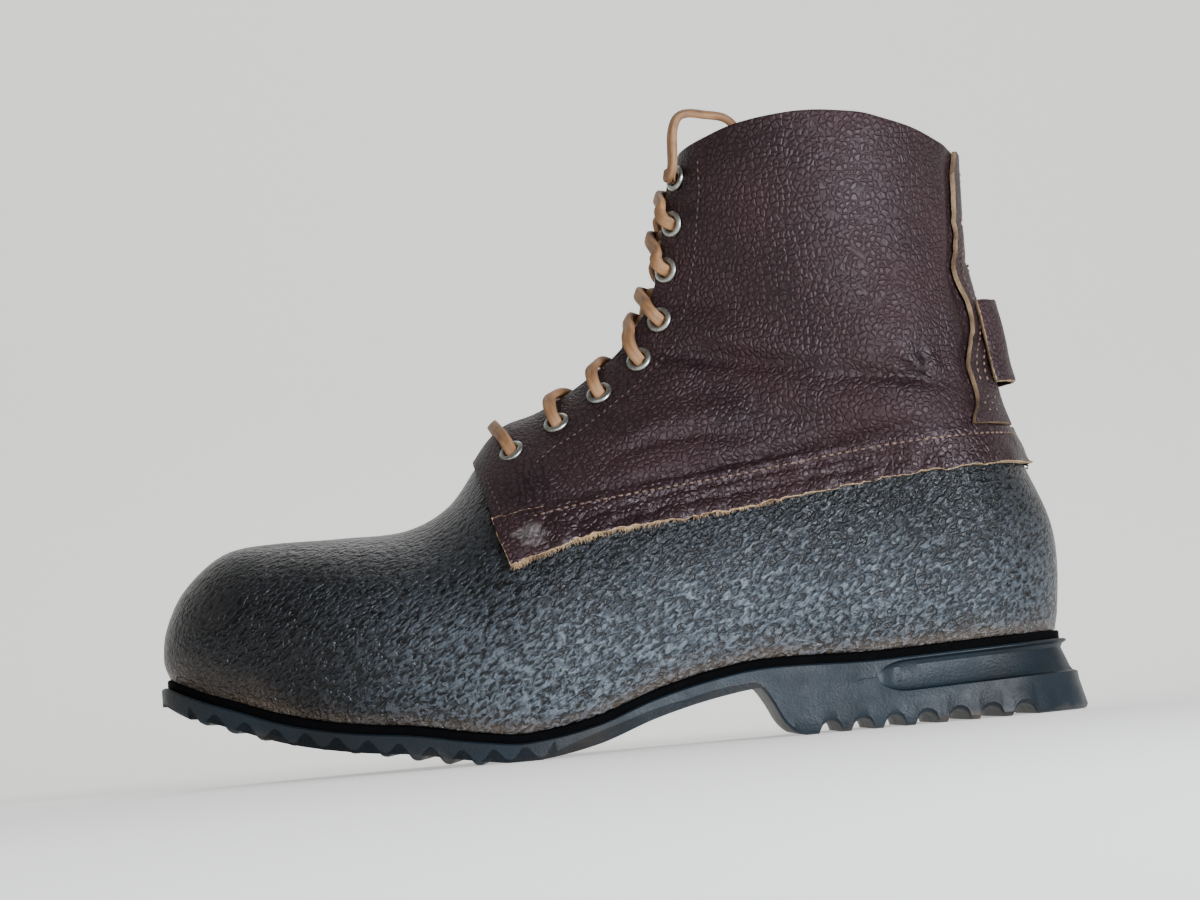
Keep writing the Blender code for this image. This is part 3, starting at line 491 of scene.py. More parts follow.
def wave(point, size, seed=0.0):
    """Smooth seeded noise from -1 to 1, with bumps of about the given size."""
    return noise.noise(point / size + Vector((seed, seed * 1.7, -seed)))


def shape_panel(bm, folds, lump, lump_size, extra=None):
    """Pushes a panel's points along their normals for folds and soft lumps."""
    bm.normal_update()
    verts = bm.verts[:]
    points = np.array([(v.co.x * 1000.0, v.co.z * 1000.0) for v in verts])
    sides = np.array([-1 if v.co.y < 0 else 1 for v in verts])
    moves = fold_offsets(points, sides, folds)
    moved = []
    for vertex, move in zip(verts, moves):
        total = move + lump * wave(vertex.co, lump_size, 3.1)
        if extra is not None:
            total += extra(vertex.co)
        moved.append(vertex.co + vertex.normal * total)
    for vertex, place in zip(verts, moved):
        vertex.co = place
    bm.normal_update()


def paint(bm, name, value):
    """Attribute that a material reads, with value(point) at each point."""
    layer = bm.verts.layers.float.new(name)
    for vertex in bm.verts:
        vertex[layer] = value(vertex.co)


def edge_layer(bm, pale):
    """Marks the cut edges with the attribute raw: pale(point) is 1 where they are undyed."""
    layer = bm.verts.layers.float.new("raw")
    for vertex in bm.verts:
        if vertex.is_boundary:
            vertex[layer] = pale(vertex.co)


def join(bm, other):
    """Adds another bmesh to this one and frees it."""
    data = bpy.data.meshes.new("joined")
    other.to_mesh(data)
    other.free()
    bm.from_mesh(data)
    bpy.data.meshes.remove(data)


def add_mesh(name, bm):
    """Smooth shaded object made from a bmesh, which is freed."""
    data = bpy.data.meshes.new(name)
    bm.to_mesh(data)
    bm.free()
    data.shade_smooth()
    return add_object(name, data)


def add_object(name, data):
    item = bpy.data.objects.new(name, data)
    bpy.context.scene.collection.objects.link(item)
    return item


def make_piece(name, bm, finishes, colours, nodes=(), angle=38.0):
    """Object at the origin from a bmesh in the last's own stations."""
    bmesh.ops.translate(bm, vec=SHIFT, verts=bm.verts[:])
    item = add_mesh(name, bm)
    item.data.set_sharp_from_angle(angle=math.radians(angle))
    for kind in finishes:
        item.data.materials.append(finish(kind, colours))
    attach(item, "root")
    if nodes:
        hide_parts(*nodes)
    return item


def leather_piece(name, bm, cover, colours, nodes, wall, bevel, rim=1):
    """Piece with its wall behind the outer face: cover outside, cut edge, lining inside."""
    item = make_piece(name, bm, (cover, "edge", "lining"), colours, nodes)
    solid = item.modifiers.new("Wall", "SOLIDIFY")
    solid.thickness = wall
    solid.offset = -1.0
    solid.material_offset = 2
    solid.material_offset_rim = rim
    if bevel > 0:
        soft = item.modifiers.new("Soft edge", "BEVEL")
        soft.width = bevel
        soft.segments = 2
        soft.limit_method = "ANGLE"
        soft.angle_limit = math.radians(50)
    return item


def clear_hole(bm, centre, radius):
    """Opens a panel where an eyelet passes, under the eyelet's flange."""
    inside = [face for face in bm.faces
              if (face.calc_center_median() - centre).length < radius]
    bmesh.ops.delete(bm, geom=inside, context="FACES")


# Materials

def coated_material(colours):
    """Rubber coated leather, sprayed and crumbed: short hard wrinkles, with a painted silvery
    sheen on the crests at the waist where the lamp's highlight falls, dusty low."""
    made, tree, shader, place = start_material("crumbed_rubber_coat")
    # Wrinkles 1.6 mm across and 2.3 mm long, rising toward the heel
    lay = add_node(tree, "Mapping", {"vector_type": "TEXTURE"}, {
        "Vector": place, "Rotation": (0.0, math.radians(-34), 0.0), "Scale": (1.9, 1.3, 1.0)})
    crumb = add_node(tree, "TexNoise", inputs={
        "Vector": lay.outputs[0], "Scale": 820.0, "Detail": 1.6, "Roughness": 0.5,
        "Distortion": 0.5})
    crest = add_node(tree, "MapRange", {"interpolation_type": "SMOOTHSTEP"}, {
        "Value": crumb.outputs["Fac"], "From Min": 0.30, "From Max": 0.68}).outputs[0]
    fine = add_node(tree, "TexNoise", inputs={"Vector": place, "Scale": 2300.0, "Detail": 1.0})
    height = add_node(tree, "Math", {"operation": "MULTIPLY_ADD"}, {
        0: fine.outputs["Fac"], 1: 0.22, 2: crest})
    bump = add_node(tree, "Bump", inputs={
        "Strength": 1.0, "Distance": 0.00058, "Height": height.outputs[0]})
    base = add_node(tree, "Mix", {"data_type": "RGBA"}, {
        0: crest, 6: rgba(colours.coat_shadow), 7: rgba(colours.coat)})
    # Painted sheen: pale grey mixed onto the crests where the lamp's broad highlight falls on the
    # waist
    painted_sheen_and_rubber_bloom = add_node(tree, "Attribute", {"attribute_name": "painted_sheen_and_rubber_bloom"})
    painted_sheen_on_crests = add_node(tree, "Math", {"operation": "MULTIPLY"}, {
        0: painted_sheen_and_rubber_bloom.outputs["Fac"], 1: crest})
    base = add_node(tree, "Mix", {"data_type": "RGBA"}, {
        0: painted_sheen_on_crests.outputs[0], 6: base.outputs[2], 7: rgba(colours.coat_painted_sheen)})
    patch = add_node(tree, "TexNoise", inputs={
        "Vector": place, "Scale": 34.0, "Detail": 5.0, "Roughness": 0.62}).outputs["Fac"]
    dust = add_node(tree, "Attribute", {"attribute_name": "dust"})
    spread = add_node(tree, "Math", {"operation": "MULTIPLY"}, {
        0: dust.outputs["Fac"], 1: patch})
    rough = add_node(tree, "MapRange", inputs={
        "Value": patch, "From Min": 0.3, "From Max": 0.7, "To Min": 0.27, "To Max": 0.42})
    fill(tree, shader, {
        "Base Color": between(tree, spread.outputs[0], 0.12, 0.55, base.outputs[2],
                              colours.dust, 0.60),
        "Roughness": rough.outputs[0], "Normal": bump.outputs[0], "Specular IOR Level": 0.32})
    return made


def leather_material(colours, name="grained_burgundy_leather", shine=0.44, wear=0.35):
    """Chrome tanned leather, dyed and waxed: rounded pebble grain with a soft purple gloss."""
    made, tree, shader, place = start_material(name)
    warp = add_node(tree, "TexNoise", inputs={"Vector": place, "Scale": 260.0, "Detail": 2.0})
    push = add_node(tree, "VectorMath", {"operation": "MULTIPLY_ADD"}, {
        0: warp.outputs["Color"], 1: (0.0014, 0.0014, 0.0014), 2: place})
    # Pebbles of about 2 mm between fine creases
    cells = add_node(tree, "TexVoronoi", {"feature": "DISTANCE_TO_EDGE"}, {
        "Vector": push.outputs[0], "Scale": 500.0, "Randomness": 0.9})
    pebble = add_node(tree, "MapRange", {"interpolation_type": "SMOOTHSTEP"}, {
        "Value": cells.outputs["Distance"], "From Min": 0.0, "From Max": 0.27}).outputs[0]
    pores = add_node(tree, "TexNoise", inputs={"Vector": place, "Scale": 2200.0, "Detail": 2.0})
    height = add_node(tree, "Math", {"operation": "MULTIPLY_ADD"}, {
        0: pores.outputs["Fac"], 1: 0.09, 2: pebble})
    patch = add_node(tree, "TexNoise", inputs={
        "Vector": place, "Scale": 38.0, "Detail": 4.0, "Roughness": 0.58}).outputs["Fac"]
    strength = add_node(tree, "MapRange", inputs={
        "Value": patch, "From Min": 0.3, "From Max": 0.7, "To Min": 0.50, "To Max": 0.95})
    bump = add_node(tree, "Bump", inputs={
        "Strength": strength.outputs[0], "Distance": 0.00034, "Height": height.outputs[0]})
    base = between(tree, patch, 0.34, 0.66, colours.leather_deep, colours.leather)
    crest = add_node(tree, "Math", {"operation": "MULTIPLY"}, {0: pebble, 1: wear})
    worn = add_node(tree, "Mix", {"data_type": "RGBA"}, {
        0: crest.outputs[0], 6: base, 7: rgba(colours.leather_worn)})
    fray = add_node(tree, "TexNoise", inputs={
        "Vector": place, "Scale": 700.0, "Detail": 3.0}).outputs["Fac"]
    # Painted highlight: a grey patch where the band's front end catches the light
    painted_highlight = add_node(tree, "Attribute", {"attribute_name": "painted_highlight"})
    painted_highlight_spread = add_node(tree, "Math", {"operation": "MULTIPLY"}, {
        0: painted_highlight.outputs["Fac"], 1: fray})
    painted_highlight_grey = between(tree, painted_highlight_spread.outputs[0], 0.24, 0.60, worn.outputs[2], colours.painted_highlight_grey,
                      0.62)
    raw = add_node(tree, "Attribute", {"attribute_name": "raw"})
    rim = add_node(tree, "Math", {"operation": "MULTIPLY_ADD"}, {
        0: fray, 1: 0.9, 2: raw.outputs["Fac"]})
    rough = add_node(tree, "MapRange", inputs={
        "Value": patch, "From Min": 0.3, "From Max": 0.7, "To Min": shine,
        "To Max": shine + 0.16})
    fill(tree, shader, {
        "Base Color": between(tree, rim.outputs[0], 1.20, 1.42, painted_highlight_grey, colours.raw_edge),
        "Roughness": rough.outputs[0], "Normal": bump.outputs[0], "IOR": 1.5,
        "Specular Tint": rgba(srgb("#d2c4c8"))})
    return made


def raw_edge_material(colours):
    """Cut edge of vegetable tanned leather: pale fibres with dark specks."""
    made, tree, shader, place = start_material("cut_leather_edge")
    fibre = add_node(tree, "TexNoise", inputs={
        "Vector": place, "Scale": 900.0, "Detail": 3.0, "Roughness": 0.7}).outputs["Fac"]
    patch = add_node(tree, "TexNoise", inputs={"Vector": place, "Scale": 120.0, "Detail": 2.0})
    pale = between(tree, patch.outputs["Fac"], 0.35, 0.62, colours.raw_shadow, colours.raw_edge)
    raw = add_node(tree, "Attribute", {"attribute_name": "raw"})
    mixed = add_node(tree, "Math", {"operation": "MULTIPLY_ADD"}, {
        0: fibre, 1: 0.5, 2: raw.outputs["Fac"]})
    bump = add_node(tree, "Bump", inputs={"Strength": 0.9, "Distance": 0.0005, "Height": fibre})
    fill(tree, shader, {
        "Base Color": between(tree, mixed.outputs[0], 0.30, 1.15, colours.raw_dark, pale),
        "Normal": bump.outputs[0], "Roughness": 0.85})
    return made


def suede_material(colours, name, first, second, scale=300.0, rough=0.85):
    """Unfinished flesh side of leather: matt, mottled, with short nap."""
    made, tree, shader, place = start_material(name)
    nap = add_node(tree, "TexNoise", inputs={"Vector": place, "Scale": 1500.0, "Detail": 3.0})
    patch = add_node(tree, "TexNoise", inputs={"Vector": place, "Scale": scale, "Detail": 4.0})
    bump = add_node(tree, "Bump", inputs={
        "Strength": 0.4, "Distance": 0.0003, "Height": nap.outputs["Fac"]})
    fill(tree, shader, {
        "Base Color": between(tree, patch.outputs["Fac"], 0.3, 0.7, first, second),
        "Normal": bump.outputs[0], "Roughness": rough})
    return made


def rubber_material(colours, name, deep, light, rough, gloss):
    """Moulded black rubber: fine skin, faint blue bloom, scuffed and dusty on its edges."""
    made, tree, shader, place = start_material(name)
    fine = add_node(tree, "TexNoise", inputs={"Vector": place, "Scale": 1300.0, "Detail": 3.0})
    scuff = add_node(tree, "TexNoise", inputs={
        "Vector": place, "Scale": 140.0, "Detail": 6.0, "Roughness": 0.66}).outputs["Fac"]
    painted_sheen_and_rubber_bloom = add_node(tree, "TexNoise", inputs={"Vector": place, "Scale": 30.0, "Detail": 3.0})
    base = between(tree, painted_sheen_and_rubber_bloom.outputs["Fac"], 0.32, 0.68, deep, light)
    dust = add_node(tree, "Attribute", {"attribute_name": "dust"})
    amount = add_node(tree, "Math", {"operation": "MULTIPLY"}, {
        0: dust.outputs["Fac"], 1: scuff})
    height = add_node(tree, "Math", {"operation": "MULTIPLY_ADD"}, {
        0: scuff, 1: 1.2, 2: fine.outputs["Fac"]})
    bump = add_node(tree, "Bump", inputs={
        "Strength": 0.28, "Distance": 0.0005, "Height": height.outputs[0]})
    dull = add_node(tree, "MapRange", inputs={
        "Value": scuff, "From Min": 0.3, "From Max": 0.7, "To Min": rough - 0.08,
        "To Max": rough + 0.10})
    fill(tree, shader, {
        "Base Color": between(tree, amount.outputs[0], 0.22, 0.62, base, colours.dust, 0.65),
        "Roughness": dull.outputs[0], "Normal": bump.outputs[0], "Specular IOR Level": gloss})
    return made


def nickel_material(colours):
    """Nickel plated brass, pressed and aged: soft gloss with dull brown stains."""
    made, tree, shader, place = start_material("aged_nickel_plate")
    stain = add_node(tree, "TexNoise", inputs={
        "Vector": place, "Scale": 380.0, "Detail": 4.0, "Roughness": 0.65}).outputs["Fac"]
    rough = add_node(tree, "MapRange", inputs={
        "Value": stain, "From Min": 0.35, "From Max": 0.7, "To Min": 0.26, "To Max": 0.58})
    bump = add_node(tree, "Bump", inputs={"Strength": 0.15, "Distance": 0.0002, "Height": stain})
    fill(tree, shader, {
        "Base Color": between(tree, stain, 0.46, 0.72, colours.metal, colours.metal_stain),
        "Roughness": rough.outputs[0], "Normal": bump.outputs[0], "Metallic": 1.0})
    return made


def rawhide_material(colours):
    """Square cut rawhide lace: oiled tan leather, darker in its pores."""
    made, tree, shader, place = start_material("cut_rawhide_lace")
    own = add_node(tree, "TexCoord")
    stretch = add_node(tree, "Mapping", inputs={
        "Vector": own.outputs["UV"], "Scale": (900.0, 160.0, 1.0)})
    fibre = add_node(tree, "TexNoise", inputs={
        "Vector": stretch.outputs[0], "Scale": 1.0, "Detail": 4.0, "Roughness": 0.65})
    patch = add_node(tree, "TexNoise", inputs={"Vector": place, "Scale": 150.0, "Detail": 3.0})
    mixed = add_node(tree, "Math", {"operation": "MULTIPLY_ADD"}, {
        0: patch.outputs["Fac"], 1: 0.8, 2: fibre.outputs["Fac"]})
    bump = add_node(tree, "Bump", inputs={
        "Strength": 0.5, "Distance": 0.0003, "Height": fibre.outputs["Fac"]})
    fill(tree, shader, {
        "Base Color": between(tree, mixed.outputs[0], 0.55, 1.1, colours.lace_deep,
                              colours.lace),
        "Normal": bump.outputs[0], "Roughness": 0.62})
    return made


def thread_material(name, first, second):
    """Waxed linen thread, twisted: small bright humps, browned with age."""
    made, tree, shader, place = start_material(name)
    twist = add_node(tree, "TexNoise", inputs={"Vector": place, "Scale": 1600.0, "Detail": 2.0})
    patch = add_node(tree, "TexNoise", inputs={"Vector": place, "Scale": 90.0, "Detail": 2.0})
    bump = add_node(tree, "Bump", inputs={
        "Strength": 0.6, "Distance": 0.0002, "Height": twist.outputs["Fac"]})
    fill(tree, shader, {
        "Base Color": between(tree, patch.outputs["Fac"], 0.35, 0.65, first, second),
        "Normal": bump.outputs[0], "Roughness": 0.6})
    return made


MATERIALS = {}


def finish(kind, colours):
    """Each finish is made once and shared by the pieces that have it."""
    makers = {
        "coat": lambda: coated_material(colours),
        "leather": lambda: leather_material(colours),
        "band": lambda: leather_material(colours, "crinkled_seam_band_leather", 0.33, 0.2),
        "edge": lambda: raw_edge_material(colours),
        "lining": lambda: suede_material(colours, "flesh_side_lining", colours.lining_deep,
                                         colours.lining),
        "tongue": lambda: leather_material(colours, "soft_tongue_leather", 0.5, 0.2),
        "insole": lambda: suede_material(colours, "insole_leather_board", colours.insole_deep,
                                         colours.insole, 60.0, 0.7),
        "sole": lambda: rubber_material(colours, "moulded_sole_rubber", colours.sole_deep,
                                        colours.sole, 0.50, 0.30),
        "midsole": lambda: rubber_material(colours, "midsole_band_rubber", colours.midsole,
                                           colours.coat_shadow, 0.85, 0.06),
        "nickel": lambda: nickel_material(colours),
        "lace": lambda: rawhide_material(colours),
        "thread": lambda: thread_material("waxed_linen_thread", colours.thread_deep,
                                          colours.thread),
        "dyed_thread": lambda: thread_material("dyed_linen_thread", colours.leather_worn,
                                               colours.thread_deep),
    }
    if kind not in MATERIALS:
        MATERIALS[kind] = makers[kind]()
    return MATERIALS[kind]


# Properties

def colour_property(name, description, code):
    return bpy.props.FloatVectorProperty(
        name=name, description=description, default=srgb(code), subtype="COLOR", size=3,
        min=0.0, max=1.0)


def size_property(name, description, metres):
    return bpy.props.FloatProperty(
        name=name, description=description, default=metres, unit="LENGTH",
        subtype="DISTANCE", min=0.0, precision=5)


class BootSizes(bpy.types.PropertyGroup):
    """Thicknesses and small sizes of the dressed boot."""

    upper_wall: size_property("Upper wall", "Thickness of the coated lower", 0.0025)
    shaft_wall: size_property("Shaft wall", "Thickness of the leather leg", 0.0020)
    strip_wall: size_property("Strip wall", "Thickness of band, backstay and loop", 0.0016)
    strip_lift: size_property("Strip lift", "Gap under band and backstay", 0.0006)
    lap: size_property("Front lap", "Height of the leg's front edge on the vamp", 0.0017)
    cell: size_property("Mesh cell", "Distance between points on the panels", 0.0015)
    lace_width: size_property("Lace width", "Width of the square cut lace", 0.0040)
    lace_thick: size_property("Lace thickness", "Thickness of the square cut lace", 0.0025)
    stitch: size_property("Stitch length", "Length of one visible stitch", 0.0017)
    stitch_gap: size_property("Stitch pitch", "Distance from stitch to stitch", 0.0025)
    keeper_height: size_property("Keeper height", "Height of the loop at the back", 0.0270)
    tongue_wall: size_property("Tongue wall", "Thickness of the tongue", 0.0018)


class BootColours(bpy.types.PropertyGroup):
    """Colours of the dressed boot."""

    coat: colour_property("Coat", "Crests of the rubber coat", "#14161a")
    coat_shadow: colour_property("Coat hollows", "Hollows of the rubber coat", "#040405")
    # Painted sheen: pale grey for the crests where the lamp's broad highlight falls
    coat_painted_sheen: colour_property("Coat bloom", "Grey bloom on the crests", "#5c656d")
    dust: colour_property("Dust", "Dry dirt low on the boot", "#5a4e43")
    leather: colour_property("Leather", "Dyed leather", "#29181a")
    leather_deep: colour_property("Leather, dark", "Darker patches of leather", "#170c0e")
    leather_worn: colour_property("Leather, worn", "Rubbed crests of the grain", "#3b2b2e")
    # Painted highlight: grey for the patch on the band's front end
    painted_highlight_grey: colour_property("Leather, scuffed", "Bare worn patch", "#6a6563")
    raw_edge: colour_property("Raw edge", "Cut edge of leather", "#bd9f78")
    raw_shadow: colour_property("Raw edge, dull", "Soiled cut edge", "#7d644c")
    raw_dark: colour_property("Raw edge, dyed", "Dyed and waxed cut edge", "#20130f")
    lining: colour_property("Lining", "Flesh side inside the leg", "#4a3a33")
    lining_deep: colour_property("Lining, dark", "Soiled flesh side", "#2c211d")
    insole: colour_property("Insole", "Insole board", "#8a6a4c")
    insole_deep: colour_property("Insole, dark", "Worn insole board", "#5a4230")
    sole: colour_property("Sole", "Sole rubber with bloom", "#16232c")
    sole_deep: colour_property("Sole, dark", "Sole rubber", "#0b1217")
    midsole: colour_property("Midsole", "Midsole band", "#040405")
    metal: colour_property("Eyelet", "Nickel plate", "#b4b8b0")
    metal_stain: colour_property("Eyelet stain", "Stain on the plate", "#6d655a")
    lace: colour_property("Lace", "Tan rawhide", "#a0764f")
    lace_deep: colour_property("Lace, dark", "Pores of the rawhide", "#5e3f28")
    thread: colour_property("Thread", "Linen thread", "#7c6455")
    thread_deep: colour_property("Thread, dark", "Browned thread", "#46332c")
    floor: colour_property("Floor", "Studio floor", "#f2f1ee")


# Pieces

def build_upper(sizes, colours):
    """Coated lower: toe, vamp and counter in one shell, open below and at the throat."""
    split = {side: turn_where(THROAT_ROW, side, above(JOINT, INSTEP)) for side in (-1, 1)}
    front = even_rows(0.0, THROAT_ROW, sizes.cell)
    rear = even_rows(THROAT_ROW, HEEL_ROW, sizes.cell)
    heel = even_rows(HEEL_ROW, back_row(JOINT, INSTEP), sizes.cell, 0.0)
    bm = bmesh.new()

    def low_bounds(row, side):
        if row <= THROAT_ROW:
            return 0.0, split[side]
        return 0.0, turn_where(row, side, above(JOINT, INSTEP))

    for side in (-1, 1):
        panel_side(bm, side, front + rear[1:] + heel[1:], low_bounds, columns=46)
        panel_side(bm, side, front, lambda row, side: (split[side], 1.0), columns=34)
    clean(bm)

    def toward_feather(point):
        pinch, reach = 0.0004, 0.006
        return -pinch * (1.0 - ease(point.z - feather_height(point.x), 0.0, reach))

    shape_panel(bm, [], lump=0.0005, lump_size=0.024, extra=toward_feather)

    def dust(point):
        """Thick along the welt, thinner above it and on the toe."""
        rise = point.z - feather_height(point.x)
        rim = 1.0 - ease(rise, 0.0005, 0.0045)
        low = 0.40 * (1.0 - ease(rise, 0.002, 0.016))
        toe = 0.22 * (1.0 - ease(point.x, 0.015, 0.07))
        return clamp(0.75 * rim + low + toe + 0.05, 0.0, 1.0)

    def painted_sheen_and_rubber_bloom(point):
        """Painted sheen: full at the waist, none on the toe, thinner toward the band and the heel.
        """
        rise = point.z - feather_height(point.x) + 0.006 * wave(point, 0.022, 4.0)
        ahead = ease(point.x, 0.045, 0.125) * (1.0 - 0.35 * ease(point.x, 0.19, 0.27))
        return 0.85 * ahead * (1.0 - 0.85 * ease(rise, 0.014, 0.050))

    paint(bm, "dust", dust)
    paint(bm, "painted_sheen_and_rubber_bloom", painted_sheen_and_rubber_bloom)
    return leather_piece("coated_upper", bm, "coat", colours, ["upper"],
                         sizes.upper_wall, 0.0, rim=0)


def build_shaft(sizes, colours):
    """Leather leg, lapped over the vamp in front, with folds at the ankle."""
    joint_back = back_row(JOINT, INSTEP)
    start = THROAT_ROW + 0.02
    rows = even_rows(start, HEEL_ROW, sizes.cell, 0.75)
    rows += even_rows(HEEL_ROW, joint_back, sizes.cell, 0.0)[1:]
    rows += even_rows(joint_back, LAST_ROW, sizes.cell, 0.0)[1:]
    bm = bmesh.new()

    def bounds(row, side):
        low = 0.0
        if row <= joint_back + 0.02:
            low = turn_where(row, side, above(JOINT, INSTEP, JOINT_GAP))
        return low, 1.0

    for side in (-1, 1):
        panel_side(bm, side, rows, bounds, columns=84)
    clean(bm)
    start_low, start_top = skin(start, -1, 0.5), skin(start, -1, 1.0)

    def lap(point):
        """The front edge lies on the vamp, and the leg eases down behind it."""
        front = start_top.x + (start_top.z - point.z) * (
            (start_low.x - start_top.x) / (start_top.z - start_low.z))
        return sizes.lap * (1.0 - ease(point.x, front, front + 0.022))

    shape_panel(bm, SHAFT_FOLDS, lump=0.0007, lump_size=0.022, extra=lap)
    # The collar's cut is uneven, which fades out 28 mm further down
    uneven, fades_at = 0.0007, 0.170
    for vertex in bm.verts:
        top = ease(vertex.co.z, fades_at, SHAFT_TOP)
        vertex.co.z += uneven * top * wave(Vector((vertex.co.x, vertex.co.y, 0.0)), 0.013, 5.0)
    for number in range(len(EYELETS)):
        for side in (-1, 1):
            clear_hole(bm, skin(*eyelet_row(number, side), False), EYELET_HOLE)
    edge_layer(bm, lambda point: 0.75 * (1.0 - ease(point.z, 0.062, 0.067)))
    return leather_piece("leather_shaft", bm, "leather", colours, ["shaft"],
                         sizes.shaft_wall, COLLAR_ROUND)


def eyelet_row(number, side):
    """Row, side and turn of an eyelet."""
    row, turn = eyelet_place(number, side)
    return row, side, turn


def eyelet_place(number, side):
    share, lift = EYELETS[number]
    return place_on(side, share * LENGTH, lift_height(lift, HEEL_SEAT))


def front_lap(sizes, station):
    """How far the front of the leg and what lies on it stand out over the vamp."""
    return sizes.lap * (1.0 - ease(station, *LAP_ENDS))


def strip_piece(name, bm, sizes, colours, nodes, lift, pale, cover="band"):
    """Leather strip on the skin: lifted, walled and raw edged."""
    bm.normal_update()
    moved = [vertex.co + vertex.normal * (lift(vertex.co) + sizes.strip_wall)
             for vertex in bm.verts]
    for vertex, place in zip(bm.verts, moved):
        vertex.co = place
    bm.normal_update()
    edge_layer(bm, pale)
    return leather_piece(name, bm, cover, colours, nodes,
                         sizes.strip_wall, CUT_ROUND)


def build_band(sizes, colours):
    """Strip over the joint, from the throat on one side round the heel to the other."""
    low_back = back_row(BAND_LOW, INSTEP)
    top_back = back_row(BAND_TOP, INSTEP)
    cell = 0.0009
    rows = even_rows(THROAT_ROW + 0.03, HEEL_ROW, cell, 0.6)
    rows += even_rows(HEEL_ROW, low_back, cell, 0.0)[1:]
    rows += even_rows(low_back, top_back, cell, 0.0)[1:]
    bm = bmesh.new()

    def bounds(row, side):
        low = 0.0
        # The cut wanders slowly and is ragged on top of that, except at the very back
        wobble = 0.0005 * wave(Vector((row * 0.01, side * 0.1, 0.0)), 0.004, 7.0)
        wobble += 0.0006 * wave(Vector((row * 0.01, side * 0.3, 0.0)), 0.0011, 2.0)
        wobble *= 1.0 - ease(row, low_back - 1.6, low_back - 0.4)
        if row < low_back:
            low = turn_where(row, side, above(BAND_LOW, INSTEP, wobble))
        top = turn_where(row, side, above(BAND_TOP, INSTEP, -wobble))
        return low, top

    for side in (-1, 1):
        panel_side(bm, side, rows, bounds, columns=14)
    clean(bm)
    # Crinkles across the band, then two creases along it, in mm like SHAFT_FOLDS
    crinkles = [(side, 0.9 + 0.5 * (k % 3), 0.45 * (-1) ** k,
                 [(121 + 6.1 * k, 63 + 0.62 * k + 3 * (k % 2)),
                  (126 + 6.1 * k, 71 + 0.62 * k + 3 * (k % 2))])
                for k in range(25) for side in (-1, 1)]
    crinkles += [(side, 1.4, -0.7, [(136, 68 + k), (170, 75 + k), (205, 79 + k), (262, 85 + k)])
                 for side in (-1, 1) for k in (0, 4)]
    shape_panel(bm, crinkles, lump=0.0005, lump_size=0.006)

    def painted_highlight(point):
        """Painted highlight: a grey patch near the front end, on the outer side."""
        if point.y >= 0.0:
            return 0.0
        station, height, half_long, half_high = 0.1265, 0.0695, 0.0065, 0.0042
        reach = math.hypot((point.x - station) / half_long, (point.z - height) / half_high)
        return 1.0 - ease(reach + 0.45 * wave(point, 0.0028, 1.0), 0.6, 1.25)

    paint(bm, "painted_highlight", painted_highlight)

    def lift(point):
        return sizes.strip_lift + front_lap(sizes, point.x)

    def pale(point):
        """Undyed low edge on the outer side and top edge on the inner side, dyed others."""
        middle = (along(BAND_LOW, point.x / LENGTH) + along(BAND_TOP, point.x / LENGTH)) / 2
        low = point.z < middle * INSTEP
        if point.y > 0.0:
            return 0.35 if low else 0.95
        return 1.0 if low else 0.48 + 0.4 * (1.0 - ease(point.x, 0.131, 0.135))

    return strip_piece("seam_band_strip", bm, sizes, colours, ["seam_band"], lift, pale)


def backstay_edge(side, height):
    """Station of the backstay's edge on a side at a height."""
    if side < 0:
        return along(BACKSTAY_SEEN, height * 1000.0) / 1000.0
    return along(BACKSTAY_RIGHT, (height - INSTEP) / (SHAFT_TOP - INSTEP)) * LENGTH + 0.0008


def behind_edge(side):
    """Test that is positive in front of the backstay's edge."""
    def test(point):
        wavy = 0.0004 * wave(Vector((side * 0.2, 0.0, point.z)), 0.005, 2.0)
        return backstay_edge(side, point.z) + wavy - point.x
    return test


def build_backstay(sizes, colours):
    """Strip up the back of the leg, from the seam band to the collar."""
    low_back = back_row(BAND_TOP, INSTEP)
    start = row_where(-1, 0.0, above(BAND_TOP, INSTEP, BACKSTAY_GAP), low_back, LAST_ROW)
    # Close rows where the foot of the strip slants round the heel, then even ones
    foot_rows, foot_step, cell = 35, 0.04, 0.0011
    rows = [start - foot_step * k for k in range(foot_rows, -1, -1)]
    rows += even_rows(start, LAST_ROW, cell, 0.0)[1:]
    bm = bmesh.new()

    def bounds(row, side):
        low = turn_where(row, side, above(BAND_TOP, INSTEP, BACKSTAY_GAP))
        high = turn_where(row, side, behind_edge(side))
        return low, max(low, high)

    for side in (-1, 1):
        panel_side(bm, side, rows, bounds, columns=20)
    clean(bm)
    smallest = 1e-9
    spare = [face for face in bm.faces if face.calc_area() < smallest]
    bmesh.ops.delete(bm, geom=spare, context="FACES")
    folds = [(side, 1.8, -0.5, [(266, z), (280, z + 2)]) for z in (112, 121, 147, 160)
             for side in (-1, 1)]
    shape_panel(bm, folds, lump=0.0004, lump_size=0.012)
    return strip_piece("backstay_strip", bm, sizes, colours, ["backstay"],
                       lambda point: sizes.strip_lift, lambda point: 0.55, "leather")


def level_point(height, side, turn):
    """Point and level outward direction on the skin at a height, near the back."""
    row = row_where(side, turn, lambda point: point.z - height, HEEL_ROW, LAST_ROW)
    normal = skin_normal(row, side, max(turn, 0.02))
    normal.z = 0.0
    return skin(row, side, turn, False), normal.normalized()


